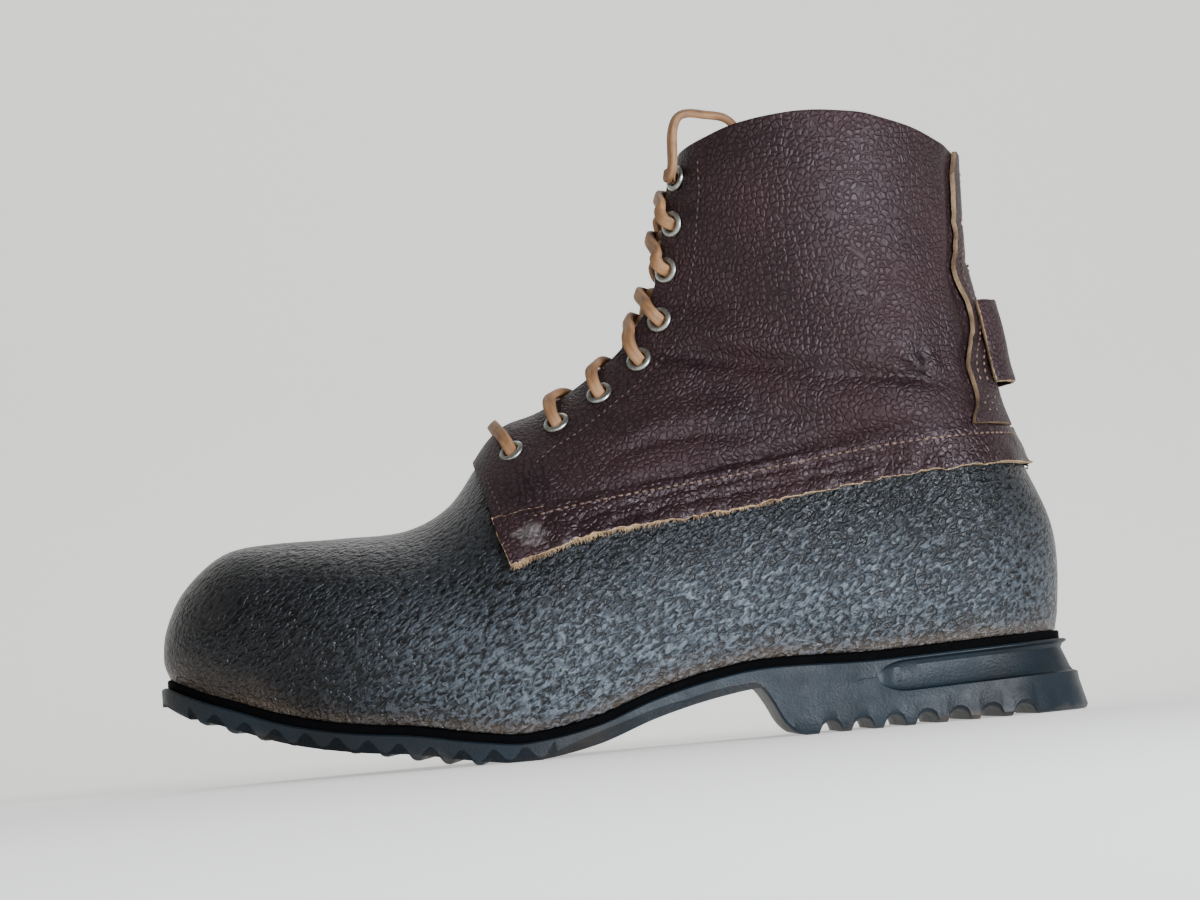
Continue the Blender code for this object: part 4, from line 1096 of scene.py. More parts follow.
def build_keeper(sizes, colours):
    """Small loop across the backstay, standing off it in the middle."""
    up_the_leg = 0.24
    middle = INSTEP + up_the_leg * (SHAFT_TOP - INSTEP)
    under = 2.0 * sizes.strip_lift + sizes.strip_wall
    half_width, stand = 0.09, 0.0040
    bm = bmesh.new()

    def place(u, v):
        across = 2.0 * u - 1.0
        side = -1 if across < 0 else 1
        height = middle + (v - 0.5) * sizes.keeper_height
        height += 0.0008 * wave(Vector((u * 0.03, v * 0.02, 0.0)), 0.008, 4.0)
        point, normal = level_point(height, side, abs(across) * half_width)
        if abs(across) < 1e-6:
            normal = Vector((1.0, 0.0, 0.0))
        return point + normal * (under + stand * (1.0 - across * across) ** 0.75)

    mapped_grid(bm, across=28, steps=20, place=place)
    clean(bm)
    bmesh.ops.recalc_face_normals(bm, faces=bm.faces[:])
    centre = Vector((LENGTH - 0.05, 0.0, middle))
    if sum((f.calc_center_median() - centre).dot(f.normal) for f in bm.faces) < 0:
        bmesh.ops.reverse_faces(bm, faces=bm.faces[:])
    shape_panel(bm, [], lump=0.0004, lump_size=0.008)
    return strip_piece("keeper_loop_strip", bm, sizes, colours, ["keeper_loop"],
                       lambda point: 0.0, lambda point: 0.85, "leather")


def build_tongue(sizes, colours):
    """Sheet behind the throat, seated under the vamp and clear of the lace above."""
    under_vamp, under_lace, cell = 0.0006, 0.0049, 0.0016
    seated = sizes.upper_wall + under_vamp
    sunk = sizes.shaft_wall + under_lace
    first = THROAT_ROW - 1.0
    rows = even_rows(first, LAST_ROW - 0.15, cell, 0.95)
    bm = bmesh.new()
    for side in (-1, 1):
        def place(u, v, side=side):
            row = rows[int(round(u * (len(rows) - 1)))]
            share = clamp(row - first - 0.5, 0.0, 1.0)
            depth = seated + (sunk - seated) * share
            # Sides widen a little toward the collar and round in at the top
            edge = 0.74 - 0.04 * (row - first) / (rows[-1] - first)
            edge += 0.10 * ease(row, rows[-1] - 0.5, rows[-1]) ** 2
            turn = edge + (1.0 - edge) * v
            on_ridge = turn > 0.999
            normal = skin_normal(row, -1 if on_ridge else side, turn)
            if on_ridge:
                normal.y = 0.0
            return skin(row, side, turn, False) - normal * depth
        mapped_grid(bm, len(rows) - 1, 22, place, flip=side > 0)
    clean(bm)
    shape_panel(bm, [], lump=0.0004, lump_size=0.014)
    edge_layer(bm, lambda point: 0.45)
    return leather_piece("tongue_sheet", bm, "tongue", colours, ["tongue"],
                         sizes.tongue_wall, CUT_ROUND)


# Soles

def feather_edge(side):
    """Samples of the feather line in plan: stations, sides and outward directions."""
    count = HEEL_ROW * 24
    points = [skin(HEEL_ROW * i / count, side, 0.0) for i in range(count + 1)]
    stations = np.array([point.x for point in points])
    sides = np.array([point.y for point in points])
    run = np.gradient(stations)
    turn = np.gradient(sides)
    size = np.hypot(run, turn)
    out = np.stack([-side * turn / size, side * run / size], axis=1)
    out[0] = (-1.0, 0.0)
    out[-1] = (1.0, 0.0)
    return stations, sides, out


def edge_point(edge, margin, station, extra=0.0):
    """Plan point on the outline at a station, moved out by extra."""
    stations, sides, out = edge
    line = stations + out[:, 0] * margin
    places = np.arange(len(line), dtype=float)
    place = float(np.interp(station, line, places))
    values = [float(np.interp(place, places, array))
              for array in (stations, sides, out[:, 0], out[:, 1])]
    scale = math.hypot(values[2], values[3])
    reach = (margin + extra) / scale
    return values[0] + values[2] * reach, values[1] + values[3] * reach


def end_stations(margin, step):
    """Stations from nose to heel, close together at both round ends."""
    stations = feather_edge(-1)[0]
    first, last = stations[0] - margin, stations[-1] + margin
    rounds = [ROUND_END * (1 - math.cos(math.pi / 2 * i / ROUND_STEPS))
              for i in range(ROUND_STEPS + 1)]
    middle = np.linspace(first + ROUND_END, last - ROUND_END, int((last - first) / step))
    places = [first + run for run in rounds[:-1]] + list(middle)
    places += [last - run for run in rounds[-2::-1]]
    return [float(place) for place in places]


def sole_slab(bm, margin, stations, levels, across):
    """Solid under the foot: levels(station) lists (extra, height) down its side.

    extra is how far a point stands out from the margin."""
    edges = {side: feather_edge(side) for side in (-1, 1)}
    rings = []
    for station in stations:
        profile = levels(station)
        left, right = ([Vector((*edge_point(edges[side], margin, station, extra), height))
                        for extra, height in profile] for side in (-1, 1))
        bottom = [left[-1].lerp(right[-1], k / across) for k in range(1, across)]
        top = [right[0].lerp(left[0], k / across) for k in range(1, across)]
        rings.append(left + bottom + right[::-1] + top + left[:1])
    last, around = len(rings) - 1, len(rings[0]) - 1
    mapped_grid(bm, last, around,
                lambda u, v: rings[int(round(u * last))][int(round(v * around))])
    clean(bm)
    bmesh.ops.recalc_face_normals(bm, faces=bm.faces[:])


def tread_height(station):
    return max(along(TREAD, station / LENGTH), 0.0) * HEEL_SEAT


def ground_height(station):
    """Ground side with rounded teeth in front and arched notches under the heel."""
    start, end = (share * LENGTH for share in FORE_TEETH_SPAN)
    height = tread_height(station)
    if start <= station <= end:
        phase = (station - start) / (end - start) * FORE_TEETH % 1.0
        valley = abs(2.0 * phase - 1.0)
        height += TOOTH_DEPTH * ease(valley, 0.12, 0.98)
    start, end = (share * LENGTH for share in HEEL_TEETH_SPAN)
    if start <= station <= end:
        phase = (station - start) / (end - start) * HEEL_TEETH % 1.0
        reach = 1.0 - ((phase - 0.5) / 0.34) ** 2
        height += HEEL_TOOTH_DEPTH * math.sqrt(max(reach, 0.0))
    return height


def build_outsole(sizes, colours):
    """Moulded sole and heel with toe spring, arch, breast, teeth and heel groove."""
    stations = end_stations(SOLE_MARGIN, step=0.0006)
    last = stations[-1]
    breast = 0.645 * LENGTH
    groove_depth, groove_start_run, groove_least = 0.0020, 0.010, 0.02
    groove_middle, groove_up, groove_down = 0.0056, 0.0048, 0.0052
    top_round, lip_size, lip_share, flat_rows = 0.0005, 0.0014, 0.18, 3

    def levels(station):
        top = feather_height(station) - SEAT_GAP - MIDSOLE_THICK - top_round
        bottom = ground_height(station)
        back = clamp((station - breast) / (last - breast), 0.0, 1.0)
        flare = HEEL_FLARE * back * back
        # The groove opens in a quarter circle and then runs on round the heel
        opening = clamp((station - GROOVE_START * LENGTH) / groove_start_run, 0.0, 1.0)
        groove = math.sqrt(1.0 - (1.0 - opening) ** 2)
        depth = groove_depth * ease(opening, 0.0, 0.6)
        middle = top - groove_middle
        upper = middle + groove_up * max(groove, groove_least)
        lower = middle - groove_down * max(groove, groove_least)
        lean = flare * (top - lower) / top
        lip = min(lip_size, lip_share * (top - bottom))
        rows = [(-0.0006, top), (0.0, top - top_round), (0.0, upper),
                (-0.7 * depth, upper - 0.0008 * groove), (-depth, upper - 0.0020 * groove),
                (lean - depth, lower + 0.0018 * groove),
                (lean - 0.6 * depth, lower + 0.0006 * groove),
                (lean + 0.0003 * groove, lower)]
        fall = max(lower - bottom - lip, 0.0003)
        for k in range(1, flat_rows + 1):
            share = k / (flat_rows + 1)
            rows.append((lean + (flare - lean) * share, lower - fall * share))
        rows += [(flare, bottom + lip), (flare - 0.35 * lip, bottom + 0.3 * lip),
                 (flare - lip, bottom)]
        return rows

    bm = bmesh.new()
    sole_slab(bm, SOLE_MARGIN, stations, levels, across=14)

    def dust(point):
        """Dry earth in patches on the teeth, and a little all over."""
        under = 1.0 - ease(point.z - tread_height(point.x), 0.0005, 0.0045)
        earth = clamp(0.5 + 0.8 * wave(point, 0.021, 8.0), 0.2, 1.0)
        return clamp(0.22 + 0.75 * under * earth, 0.0, 1.0)

    paint(bm, "dust", dust)
    return make_piece("moulded_outsole", bm, ["sole"], colours, ["outsole"], 32.0)


def build_midsole(sizes, colours):
    """Thin rubber band between the upper and the outsole, set back from the sole's edge.

    A ridge on top, inside the upper's wall, keeps light from passing under the wall."""
    set_back = 0.0022
    margin = SOLE_MARGIN - set_back

    def levels(station):
        top = feather_height(station) - 0.0002
        bottom = top - MIDSOLE_THICK - 0.0012
        return [(-0.0052, top), (-0.0046, top + 0.0018), (-0.0038, top + 0.0018),
                (-0.0030, top), (-0.0004, top), (0.0, top - 0.0004), (0.0, bottom + 0.0004),
                (-0.0004, bottom)]

    bm = bmesh.new()
    sole_slab(bm, margin, end_stations(margin, step=0.0015), levels, across=10)
    return make_piece("midsole_band", bm, ["midsole"], colours, ["midsole"])


def build_insole(sizes, colours):
    """Board inside, on the midsole."""
    margin = -(sizes.upper_wall + 0.0022)

    def levels(station):
        bottom = feather_height(station) - 0.0001
        return [(-0.0006, bottom + 0.0034), (0.0, bottom + 0.0028), (0.0, bottom)]

    bm = bmesh.new()
    sole_slab(bm, margin, end_stations(margin, step=0.0025), levels, across=24)
    return make_piece("insole_board", bm, ["insole"], colours, ["insole"])


# Eyelets, lace and stitches

def build_eyelets(sizes, colours):
    """Rolled nickel eyelets with a washer behind the leather."""
    # Radius and height of each profile's points, in mm, from the eyelet's place on the skin
    outside = [(3.0, -2.7), (2.65, -2.7), (2.5, -2.0), (2.5, 0.9), (2.68, 1.28), (3.05, 1.52),
               (3.55, 1.48), (4.05, 1.22), (4.35, 0.86), (4.32, 0.62), (3.9, 0.5), (3.0, 0.45),
               (3.0, -2.7)]
    washer = [(3.0, -2.1), (4.1, -2.15), (4.25, -2.4), (4.0, -2.7), (3.2, -2.9), (2.8, -2.6)]
    bm = bmesh.new()
    for number in range(len(EYELETS)):
        for side in (-1, 1):
            place = frame_on_skin(*eyelet_row(number, side))
            for profile in (outside, washer):
                ring = bmesh.new()
                verts = [ring.verts.new((r / 1000, 0.0, h / 1000)) for r, h in profile]
                edges = [ring.edges.new(pair) for pair in zip(verts, verts[1:])]
                bmesh.ops.spin(ring, geom=verts + edges, cent=(0, 0, 0), axis=(0, 0, 1),
                               angle=2 * math.pi, steps=24, use_merge=True)
                bmesh.ops.transform(ring, matrix=place, verts=ring.verts[:])
                join(bm, ring)
    clean(bm)
    bmesh.ops.recalc_face_normals(bm, faces=bm.faces[:])
    nodes = [f"eyelet_{k + 1}_{word}" for k in range(len(EYELETS)) for word in ("left", "right")]
    return make_piece("nickel_eyelets", bm, ["nickel"], colours, nodes, 50.0)


def facing_edge(row, side):
    """Turn of the facing's edge on the closed skin."""
    part = section_at(row)

    def on_facing(turn):
        reach = abs(skin(row, side, turn, False).y - part.ridge * BALL_WIDTH)
        return reach > part.gap * BALL_WIDTH

    return halve(WIDEST_TURN, 1.0, on_facing)


def control(row, side, turn, height):
    """Control of a lace's route: a place over the skin and the skin's normal there."""
    return hover(row, side, turn, height), skin_normal(row, side, turn)


def strand(number, side, over):
    """Controls from the outside of one eyelet to the hole of the next one across.

    The lowest strands start under the facings, the others over them, and over says which
    of two crossing strands lies on top. Heights over the skin are in mm."""
    row_a, turn_a = eyelet_place(number, side)
    row_b, turn_b = eyelet_place(number + 1, -side)
    points = []

    def add(row, where, turn, height):
        points.append(control(row, where, turn, height / 1000.0))

    rise = row_b - row_a
    edge_row = row_a + 0.28 * rise
    edge_a = facing_edge(edge_row, side)
    if number:
        add(row_a, side, turn_a, 0.6)
        add(row_a + 0.03 * rise, side, turn_a + 0.22 * (edge_a - turn_a), 2.9)
        add(row_a + 0.14 * rise, side, turn_a + 0.62 * (edge_a - turn_a), 3.3)
        add(edge_row, side, edge_a, 2.1)
    else:
        add(row_a + 0.10 * rise, side, turn_a + 0.4 * (edge_a - turn_a), -4.3)
        add(edge_row, side, edge_a, -4.2)
    middle = row_a + 0.50 * rise
    add(middle, -1, 1.0, (-0.6 if over else -3.9) if number else -4.6)
    far_row = row_a + 0.72 * rise
    edge_b = facing_edge(far_row, -side)
    add(far_row, -side, edge_b, -4.4)
    add(row_b - 0.12 * rise, -side, turn_b + 0.45 * (edge_b - turn_b), -4.9)
    add(row_b - 0.02 * rise, -side, turn_b + 0.08 * (edge_b - turn_b), -3.6)
    add(row_b, -side, turn_b, -1.2)
    return points


def smooth_path(controls, steps):
    """Points and up directions along a smooth curve through the controls."""
    def smooth(part, place):
        return Vector([through([each[part][k] for each in controls], place) for k in range(3)])

    places = [i / steps for i in range((len(controls) - 1) * steps + 1)]
    return ([smooth(0, place) for place in places],
            [smooth(1, place).normalized() for place in places])


def direction(points, i):
    """Direction of a path at its point i."""
    return (points[min(i + 1, len(points) - 1)] - points[max(i - 1, 0)]).normalized()


def lace_tube(bm, points, ups, width, thick):
    """Square cut lace with rounded corners along a path, closed at both ends."""
    around, squareness = 20, 4.6
    rings, runs = [], [0.0]
    for i, point in enumerate(points):
        ahead = direction(points, i)
        across = ups[i].cross(ahead).normalized()
        up = ahead.cross(across)
        ring = []
        for k in range(around + 1):
            angle = 2 * math.pi * k / around
            c, s = math.cos(angle), math.sin(angle)
            size = (abs(c) ** squareness + abs(s) ** squareness) ** (-1 / squareness)
            worn = 1.0 + 0.07 * wave(point + Vector((c, s, 0.0)) * 0.004, 0.009, 6.0)
            ring.append(point + worn * size * (c * across * width / 2 + s * up * thick / 2))
        rings.append(ring)
        if i:
            runs.append(runs[-1] + (point - points[i - 1]).length)
    last = len(rings) - 1
    layer = bm.loops.layers.uv.verify()
    made = bmesh.ops.create_grid(bm, x_segments=last, y_segments=around, size=0.5)["verts"]
    spots = {vertex: (int(round((vertex.co.x + 0.5) * last)),
                      int(round((vertex.co.y + 0.5) * around))) for vertex in made}
    for face in {face for vertex in made for face in vertex.link_faces}:
        for loop in face.loops:
            i, k = spots[loop.vert]
            loop[layer].uv = (k / around * 2 * (width + thick), runs[i])
    for vertex, (i, k) in spots.items():
        vertex.co = rings[i][k]
    bmesh.ops.remove_doubles(bm, verts=made, dist=1e-5)
    rim = [edge for edge in bm.edges if edge.is_boundary]
    bmesh.ops.holes_fill(bm, edges=rim, sides=around + 2)
    bmesh.ops.recalc_face_normals(bm, faces=bm.faces[:])


def build_lace(sizes, colours):
    """Crossed lacing: a bar at the lowest eyelets, then up through each pair of holes."""
    top = len(EYELETS) - 1

    def climb(side):
        controls = []
        for number in range(top):
            controls += strand(number, side, side < 0)
            side = -side
        return controls, eyelet_row(top, side)

    left, left_top = climb(-1)
    right, right_top = climb(1)
    # The bar comes out of the lowest hole on the right and goes into the one on the left
    row_left, turn_left = eyelet_place(0, -1)
    row_right, turn_right = eyelet_place(0, 1)
    toward_ridge = 0.25
    bar = [control(row_right, 1, turn_right, -0.0034), control(row_right, 1, turn_right, 0.0002),
           control(row_right, 1, turn_right + (1.0 - turn_right) * toward_ridge, 0.0028)]
    bar += [control(row_left - 0.06, side, turn, 0.0031)
            for side, turn in ((1, 0.94), (-1, 1.0), (-1, 0.94))]
    bar += [control(row_left, -1, turn_left + (1.0 - turn_left) * toward_ridge, 0.0028),
            control(row_left, -1, turn_left, 0.0002), control(row_left, -1, turn_left, -0.0034)]
    # The end on the right stops in its top hole, the one on the left goes on as the free end
    left.append(control(*left_top, 0.0006))
    right += [control(*right_top, height) for height in (0.0006, 0.0024, 0.0040)]
    points, ups = smooth_path(left[::-1] + bar[::-1] + right, 6)
    bm = bmesh.new()
    lace_tube(bm, points, ups, sizes.lace_width, sizes.lace_thick)
    return make_piece("rawhide_lacing", bm, ["lace"], colours, ["lace"], 50.0)


def build_lace_end(sizes, colours):
    """Free end: up from the top left eyelet, over the collar and down inside."""
    points = [Vector((share * LENGTH, side * BALL_WIDTH, lift_height(lift, HEEL_SEAT)))
              for share, side, lift in LACE_END_ROUTE]
    ups, up = [], skin_normal(*eyelet_row(len(EYELETS) - 1, -1))
    for i in range(len(points)):
        ahead = direction(points, i)
        up = (up - ahead * up.dot(ahead)).normalized()
        ups.append(up)
    path, path_ups = smooth_path(list(zip(points, ups)), 4)
    bm = bmesh.new()
    lace_tube(bm, path, path_ups, sizes.lace_width, sizes.lace_thick)
    item = make_piece("free_lace_end", bm, ["lace"], colours, ["lace_end"],
                      50.0)
    line = [point + SHIFT for point in path]
    length = sum((b - a).length for a, b in zip(line, line[1:]))
    tuple(line[0])
    [tuple(p) for p in line]
    return item


def stitch_row(bm, places, sizes, height=0.0, width=0.0008, size=1.0, least=0):
    """Humps of thread along a line of (row, side, turn) places on the skin."""
    hump = 0.00042
    points = [hover(row, side, turn, height) for row, side, turn in places]
    normals = [skin_normal(row, side, turn) for row, side, turn in places]
    run = np.concatenate([[0.0], np.cumsum([(b - a).length for a, b in zip(points, points[1:])])])
    count = max(int(run[-1] / sizes.stitch_gap), least)
    for k in range(count):
        at = (k + 0.5) * run[-1] / count
        i = int(np.clip(np.searchsorted(run, at) - 1, 0, len(points) - 2))
        share = (at - run[i]) / max(run[i + 1] - run[i], 1e-9)
        centre = points[i].lerp(points[i + 1], share)
        ahead = (points[i + 1] - points[i]).normalized()
        normal = normals[i].lerp(normals[i + 1], share).normalized()
        across = normal.cross(ahead).normalized()
        turned = Matrix((ahead, across, normal)).transposed().to_4x4()
        tilt = Matrix.Rotation(math.radians(7 * wave(centre, 0.003, 9.0)), 4, "Z")
        made = bmesh.ops.create_uvsphere(bm, u_segments=8, v_segments=5, radius=1.0)
        scale = Matrix.Diagonal((sizes.stitch / 2 * size, width / 2, hump, 1.0))
        spun = Matrix.Rotation(math.radians(90), 4, "Y")
        bmesh.ops.transform(bm, verts=made["verts"],
                            matrix=Matrix.Translation(centre) @ turned @ tilt @ scale @ spun)


def line_places(side, line, step=3.0):
    """Rows and turns along a side-view line in mm."""
    known = [place_on(side, s / 1000, z / 1000) for s, z in line]
    places = []
    for (row_a, turn_a), (row_b, turn_b), a, b in zip(known, known[1:], line, line[1:]):
        pieces = max(int(math.dist(a, b) / step), 1)
        for k in range(pieces):
            share = k / pieces
            places.append((row_a + (row_b - row_a) * share, side,
                           turn_a + (turn_b - turn_a) * share))
    row, turn = known[-1]
    return places + [(row, side, turn)]


def build_stitches(sizes, colours):
    """Thread seams of facings, front edge, seam band and backstay, and its foot's tack."""
    bm, dyed = bmesh.new(), bmesh.new()
    low_back = back_row(BAND_LOW, INSTEP)
    top_back = back_row(BAND_TOP, INSTEP)
    clear = 0.0001
    on_strip = sizes.strip_lift + sizes.strip_wall
    band_seam, second_seam = -0.0022, -0.0128
    backstay_seams = (0.0020, 0.0046)
    tack = (274.5, 99.0)
    for side in (-1, 1):
        stitch_row(dyed, line_places(side, FACING_STITCHES), sizes, clear, 0.0006, 0.9)
        rows = even_rows(THROAT_ROW + 0.15, HEEL_ROW, 0.003, 0.6)
        rows += even_rows(HEEL_ROW, top_back - 0.1, 0.003, 0.0)[1:]
        for extra in (band_seam, second_seam) if side > 0 else (band_seam,):
            places = [(row, side, turn_where(row, side, above(BAND_TOP, INSTEP, extra), False))
                      for row in rows if row < low_back or extra == band_seam]
            places = [place for place in places if place[2] > 0.002]
            stitch_row(bm, places, sizes, on_strip + clear)
        heights = [INSTEP + (SHAFT_TOP - INSTEP) * k / 20 for k in range(2, 18)]
        for inset in backstay_seams:
            points = [((backstay_edge(side, height) + inset) * 1000, height * 1000)
                      for height in heights]
            places = [place for place in back_places(side, points) if place[2] > 0.012]
            stitch_row(bm, places, sizes, on_strip, 0.0006, 0.85)
        stitch_row(dyed, line_places(side, FRONT_STITCHES), sizes, clear + sizes.lap, 0.0006,
                   0.8)
        for ring, radius in ((6, 2.6), (1, 0.0)):
            for k in range(ring):
                turned = 2 * math.pi * k / ring
                spot = (tack[0] + radius * math.cos(turned), tack[1] + radius * math.sin(turned))
                after = (spot[0] + 0.4, spot[1] + 0.7)
                places = back_places(side, [spot, after])
                stitch_row(bm, places, sizes, on_strip + clear, 0.0008, 0.35, least=1)
    make_piece("dyed_stitches", dyed, ["dyed_thread"], colours, angle=60.0)
    return make_piece("linen_stitches", bm, ["thread"], colours, angle=60.0)


def back_places(side, points):
    """Rows and turns of side-view places, in mm, near the back of the leg."""
    places = []
    for s, z in points:
        def row_at(turn, z=z):
            return row_where(side, turn, lambda point: point.z - z / 1000, HEEL_ROW, LAST_ROW)

        turn = halve(0.0, 0.35, lambda turn: skin(row_at(turn), side, turn, False).x > s / 1000,
                     rounds=19)
        places.append((row_at(turn), side, turn))
    return places


def build_fibres(sizes, colours):
    """Frayed ends of leather along the band's cut edge, thickest and longest in front."""
    chance = random.Random(7)
    bm = bmesh.new()
    fibres, front, reach, crowding = 420, 0.1205, 0.085, 1.9
    rise = sizes.strip_lift + sizes.strip_wall * 0.6
    for side in (-1, 1):
        for _ in range(fibres):
            share = chance.random() ** crowding
            station = front + reach * share
            row, turn = place_on(side, station, along(BAND_LOW, station / LENGTH) * INSTEP)
            depth = rise + front_lap(sizes, station) + 0.0007 * (chance.random() - 0.5)
            centre = hover(row, side, turn, depth)
            normal = skin_normal(row, side, turn)
            lean = Vector((chance.gauss(-0.1, 0.55), 0.0, -1.0)) + normal * chance.gauss(0.05, 0.3)
            lean.normalize()
            half = (0.5 + 0.9 * chance.random()) * (1.0 - 0.45 * share) / 1000
            turned = lean.to_track_quat("Z", "Y").to_matrix().to_4x4()
            bmesh.ops.create_cone(
                bm, cap_ends=True, segments=3, radius1=0.00016, radius2=0.00004, depth=half * 2,
                matrix=Matrix.Translation(centre + lean * half * 0.7) @ turned)
    paint(bm, "raw", lambda point: 1.0)
    return make_piece("frayed_fibres", bm, ["edge"], colours, angle=60.0)


# Stage

def build_floor(colours):
    """Pale floor that curves up into a wall behind the boot."""
    width, start, bend = 8.0, 0.5, 2.0
    bm = bmesh.new()

    def place(u, v):
        run = -3.0 + 8.0 * v
        angle = (run - start) / bend
        if run < start:
            y, z = run, 0.0
        elif angle < math.pi / 2:
            y, z = start + bend * math.sin(angle), bend * (1.0 - math.cos(angle))
        else:
            y, z = start + bend, bend + run - start - bend * math.pi / 2
        return Vector((width * (u - 0.5), y, z))

    mapped_grid(bm, across=2, steps=96, place=place)
    bm.normal_update()
    made, tree, shader, spot = start_material("matt_studio_paint")
    grain = add_node(tree, "TexNoise", inputs={"Vector": spot, "Scale": 3.0, "Detail": 2.0})
    tone = add_node(tree, "Mix", {"data_type": "RGBA"}, {
        0: grain.outputs["Fac"], 6: rgba(colours.floor),
        7: rgba([part * 0.985 for part in colours.floor])})
    # Lit from within like a light table, so that the boot gets light from below
    fill(tree, shader, {"Base Color": tone.outputs[2], "Roughness": 0.9,
                        "Emission Color": rgba(colours.floor), "Emission Strength": 0.62})
    floor = add_mesh("studio_floor", bm)
    floor.data.materials.append(made)
    floor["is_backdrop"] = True


def aim_at(item, spot, aim, roll=0.0):
    """Places a camera or lamp at a spot, looking at another."""
    turned = (Vector(aim) - Vector(spot)).to_track_quat("-Z", "Y").to_matrix().to_4x4()
    item.matrix_world = Matrix.Translation(spot) @ turned @ Matrix.Rotation(roll, 4, "Z")


def build_camera():
    """Low in front of the outer side, looking slightly up, rolled as in the photo."""
    data = bpy.data.cameras.new("photo_camera")
    data.lens = 106.0
    data.sensor_width = 36.0
    camera = add_object("photo_camera", data)
    aim_at(camera, (0.0, -1.15, 0.014), (0.0, 0.0, 0.098), math.radians(-5.3))
    bpy.context.scene.camera = camera


def build_lights():
    """Soft lamps, and a sky that is bright at the horizon and dims upwards."""
    lamps = [
        ("key", (0.62, -1.05, 0.17), (0.04, 0.0, 0.05), 0.55, 30.0, "#f0f6ff"),
        ("fill", (-0.9, -1.3, 0.55), (-0.02, 0.0, 0.08), 1.0, 2.2, "#fff8f2"),
        ("rim", (0.1, 0.9, 0.9), (0.0, 0.0, 0.12), 0.8, 1.5, "#ffffff"),
        ("backdrop", (0.0, 0.7, 1.6), (0.0, 2.6, 0.4), 2.0, 14.0, "#ffffff"),
    ]
    for name, spot, aim, size, power, code in lamps:
        data = bpy.data.lights.new(name, "AREA")
        data.shape = "SQUARE"
        data.size = size
        data.energy = power
        data.color = srgb(code)
        aim_at(add_object(name, data), spot, aim)
    world = bpy.data.worlds.new("studio_world")
    world.use_nodes = True
    tree = world.node_tree
    spot = add_node(tree, "TexCoord")
    axes = add_node(tree, "SeparateXYZ", inputs={0: spot.outputs["Generated"]})
    glow = between(tree, axes.outputs["Z"], 0.05, 0.7, (1.0, 1.0, 1.0), (0.26, 0.27, 0.28))
    fill(tree, tree.nodes["Background"], {"Color": glow, "Strength": 0.42})
    bpy.context.scene.world = world


# Operators, panel and registration

class BOOT_OT_stage(bpy.types.Operator):
    """Camera, soft lights and a pale floor that curves up behind the boot"""

    bl_idname = "boot.stage"
    bl_label = "Studio Stage"

    def execute(self, context):
        build_floor(context.scene.boot_colours)
        build_camera()
        build_lights()
        return {"FINISHED"}


class PieceOperator:
    """Runs the builders of its pieces and raises an error if one comes out without faces"""

    builders = ()

    def execute(self, context):
        sizes, colours = context.scene.boot_sizes, context.scene.boot_colours
        for build in self.builders:
            item = build(sizes, colours)
            if not item.data.polygons:
                raise RuntimeError(f"{item.name} came out without faces")
        return {"FINISHED"}


class BOOT_OT_lace_end(PieceOperator, bpy.types.Operator):
    """Free end of the rawhide lace"""

    bl_idname = "boot.lace_end"
    bl_label = "Free Lace End"
    builders = (build_lace_end,)


class BOOT_OT_upper(PieceOperator, bpy.types.Operator):
    """Crumbed rubber lower"""

    bl_idname = "boot.upper"
    bl_label = "Coated Upper"
    builders = (build_upper,)


class BOOT_OT_shaft(PieceOperator, bpy.types.Operator):
    """Grained leather leg"""

    bl_idname = "boot.shaft"
    bl_label = "Leather Shaft"
    builders = (build_shaft,)


class BOOT_OT_band(PieceOperator, bpy.types.Operator):
    """Raw edged strip over the joint, with its frayed fibres"""

    bl_idname = "boot.band"
    bl_label = "Seam Band"
    builders = (build_band, build_fibres)


class BOOT_OT_backstay(PieceOperator, bpy.types.Operator):
    """Strip and loop at the back"""

    bl_idname = "boot.backstay"
    bl_label = "Backstay and Loop"
    builders = (build_backstay, build_keeper)


class BOOT_OT_tongue(PieceOperator, bpy.types.Operator):
    """Sheet behind the throat"""

    bl_idname = "boot.tongue"
    bl_label = "Tongue"
    builders = (build_tongue,)


class BOOT_OT_soles(PieceOperator, bpy.types.Operator):
    """Outsole, midsole band and insole board"""

    bl_idname = "boot.soles"
    bl_label = "Soles"
    builders = (build_outsole, build_midsole, build_insole)


class BOOT_OT_eyelets(PieceOperator, bpy.types.Operator):
    """Sixteen nickel eyelets"""

    bl_idname = "boot.eyelets"
    bl_label = "Eyelets"
    builders = (build_eyelets,)


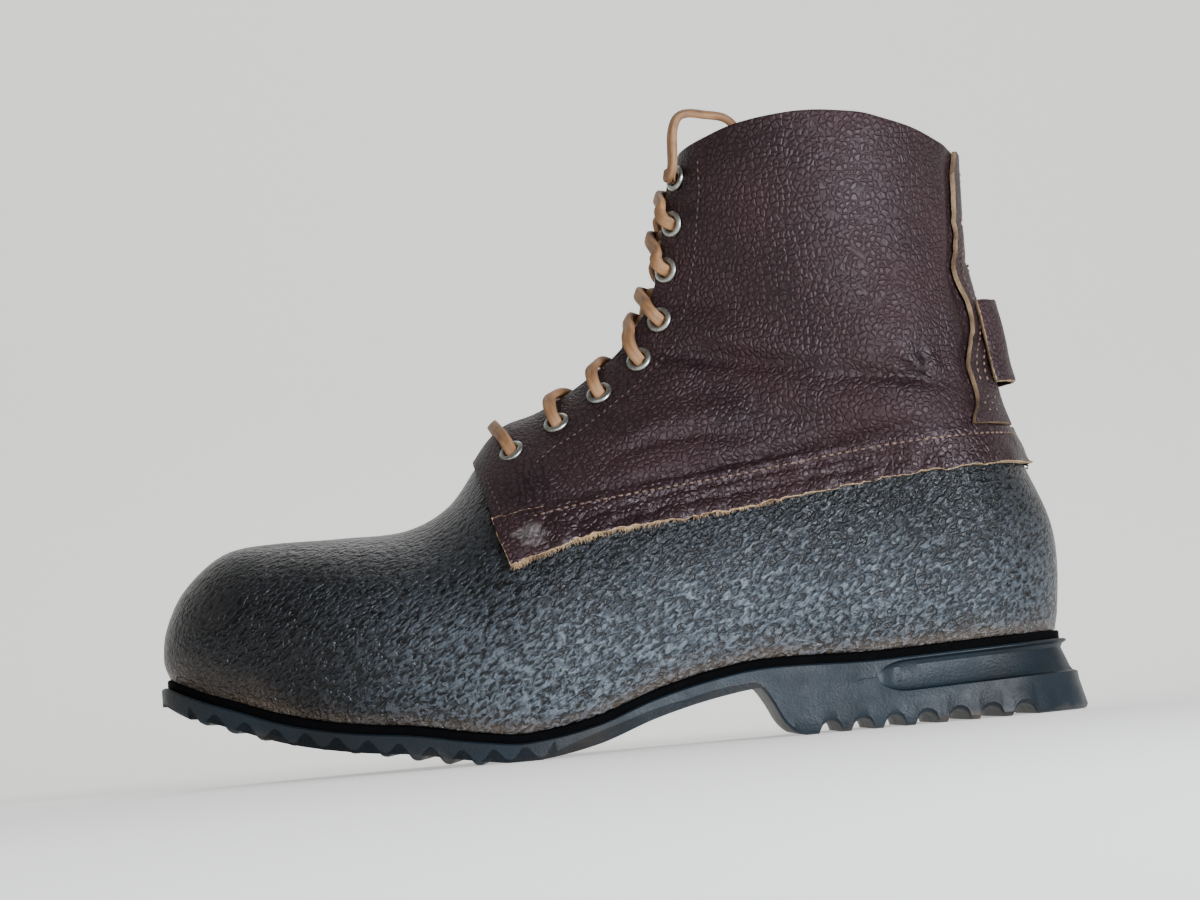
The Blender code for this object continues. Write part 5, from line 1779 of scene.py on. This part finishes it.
class BOOT_OT_lace(PieceOperator, bpy.types.Operator):
    """Crossed rawhide lacing"""

    bl_idname = "boot.lace"
    bl_label = "Lacing"
    builders = (build_lace,)


class BOOT_OT_stitches(PieceOperator, bpy.types.Operator):
    """Thread seams, waxed and dyed"""

    bl_idname = "boot.stitches"
    bl_label = "Stitches"
    builders = (build_stitches,)


OPERATORS = [BOOT_OT_stage, BOOT_OT_lace_end, BOOT_OT_upper, BOOT_OT_shaft, BOOT_OT_band,
             BOOT_OT_backstay, BOOT_OT_tongue, BOOT_OT_soles, BOOT_OT_eyelets, BOOT_OT_lace,
             BOOT_OT_stitches]


class BOOT_PT_panel(bpy.types.Panel):
    """Lists the boot's pieces in the sidebar"""

    bl_label = "Combat Boot"
    bl_idname = "BOOT_PT_panel"
    bl_space_type = "VIEW_3D"
    bl_region_type = "UI"
    bl_category = "Boot"

    def draw(self, context):
        layout = self.layout
        for operator in OPERATORS:
            layout.operator(operator.bl_idname)
        for group in (context.scene.boot_sizes, context.scene.boot_colours):
            box = layout.box()
            for name in group.__annotations__:
                box.prop(group, name)


CLASSES = [BootSizes, BootColours, *OPERATORS, BOOT_PT_panel]


def register():
    for item in CLASSES:
        bpy.utils.register_class(item)
    bpy.types.Scene.boot_sizes = bpy.props.PointerProperty(type=BootSizes)
    bpy.types.Scene.boot_colours = bpy.props.PointerProperty(type=BootColours)


def unregister():
    del bpy.types.Scene.boot_colours
    del bpy.types.Scene.boot_sizes
    for item in reversed(CLASSES):
        bpy.utils.unregister_class(item)


def main():
    register()
    bpy.ops.boot.stage()
    bpy.ops.boot.lace_end()
    bpy.ops.boot.upper()
    bpy.ops.boot.shaft()
    bpy.ops.boot.band()
    bpy.ops.boot.backstay()
    bpy.ops.boot.tongue()
    bpy.ops.boot.soles()
    bpy.ops.boot.eyelets()
    bpy.ops.boot.lace()
    bpy.ops.boot.stitches()
    boxes = {"cad": CAD_BOX, "visual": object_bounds()}
    ({key: [[float(v) for v in corner] for corner in box]
               for key, box in boxes.items()})


if __name__ == "__main__":
    main()
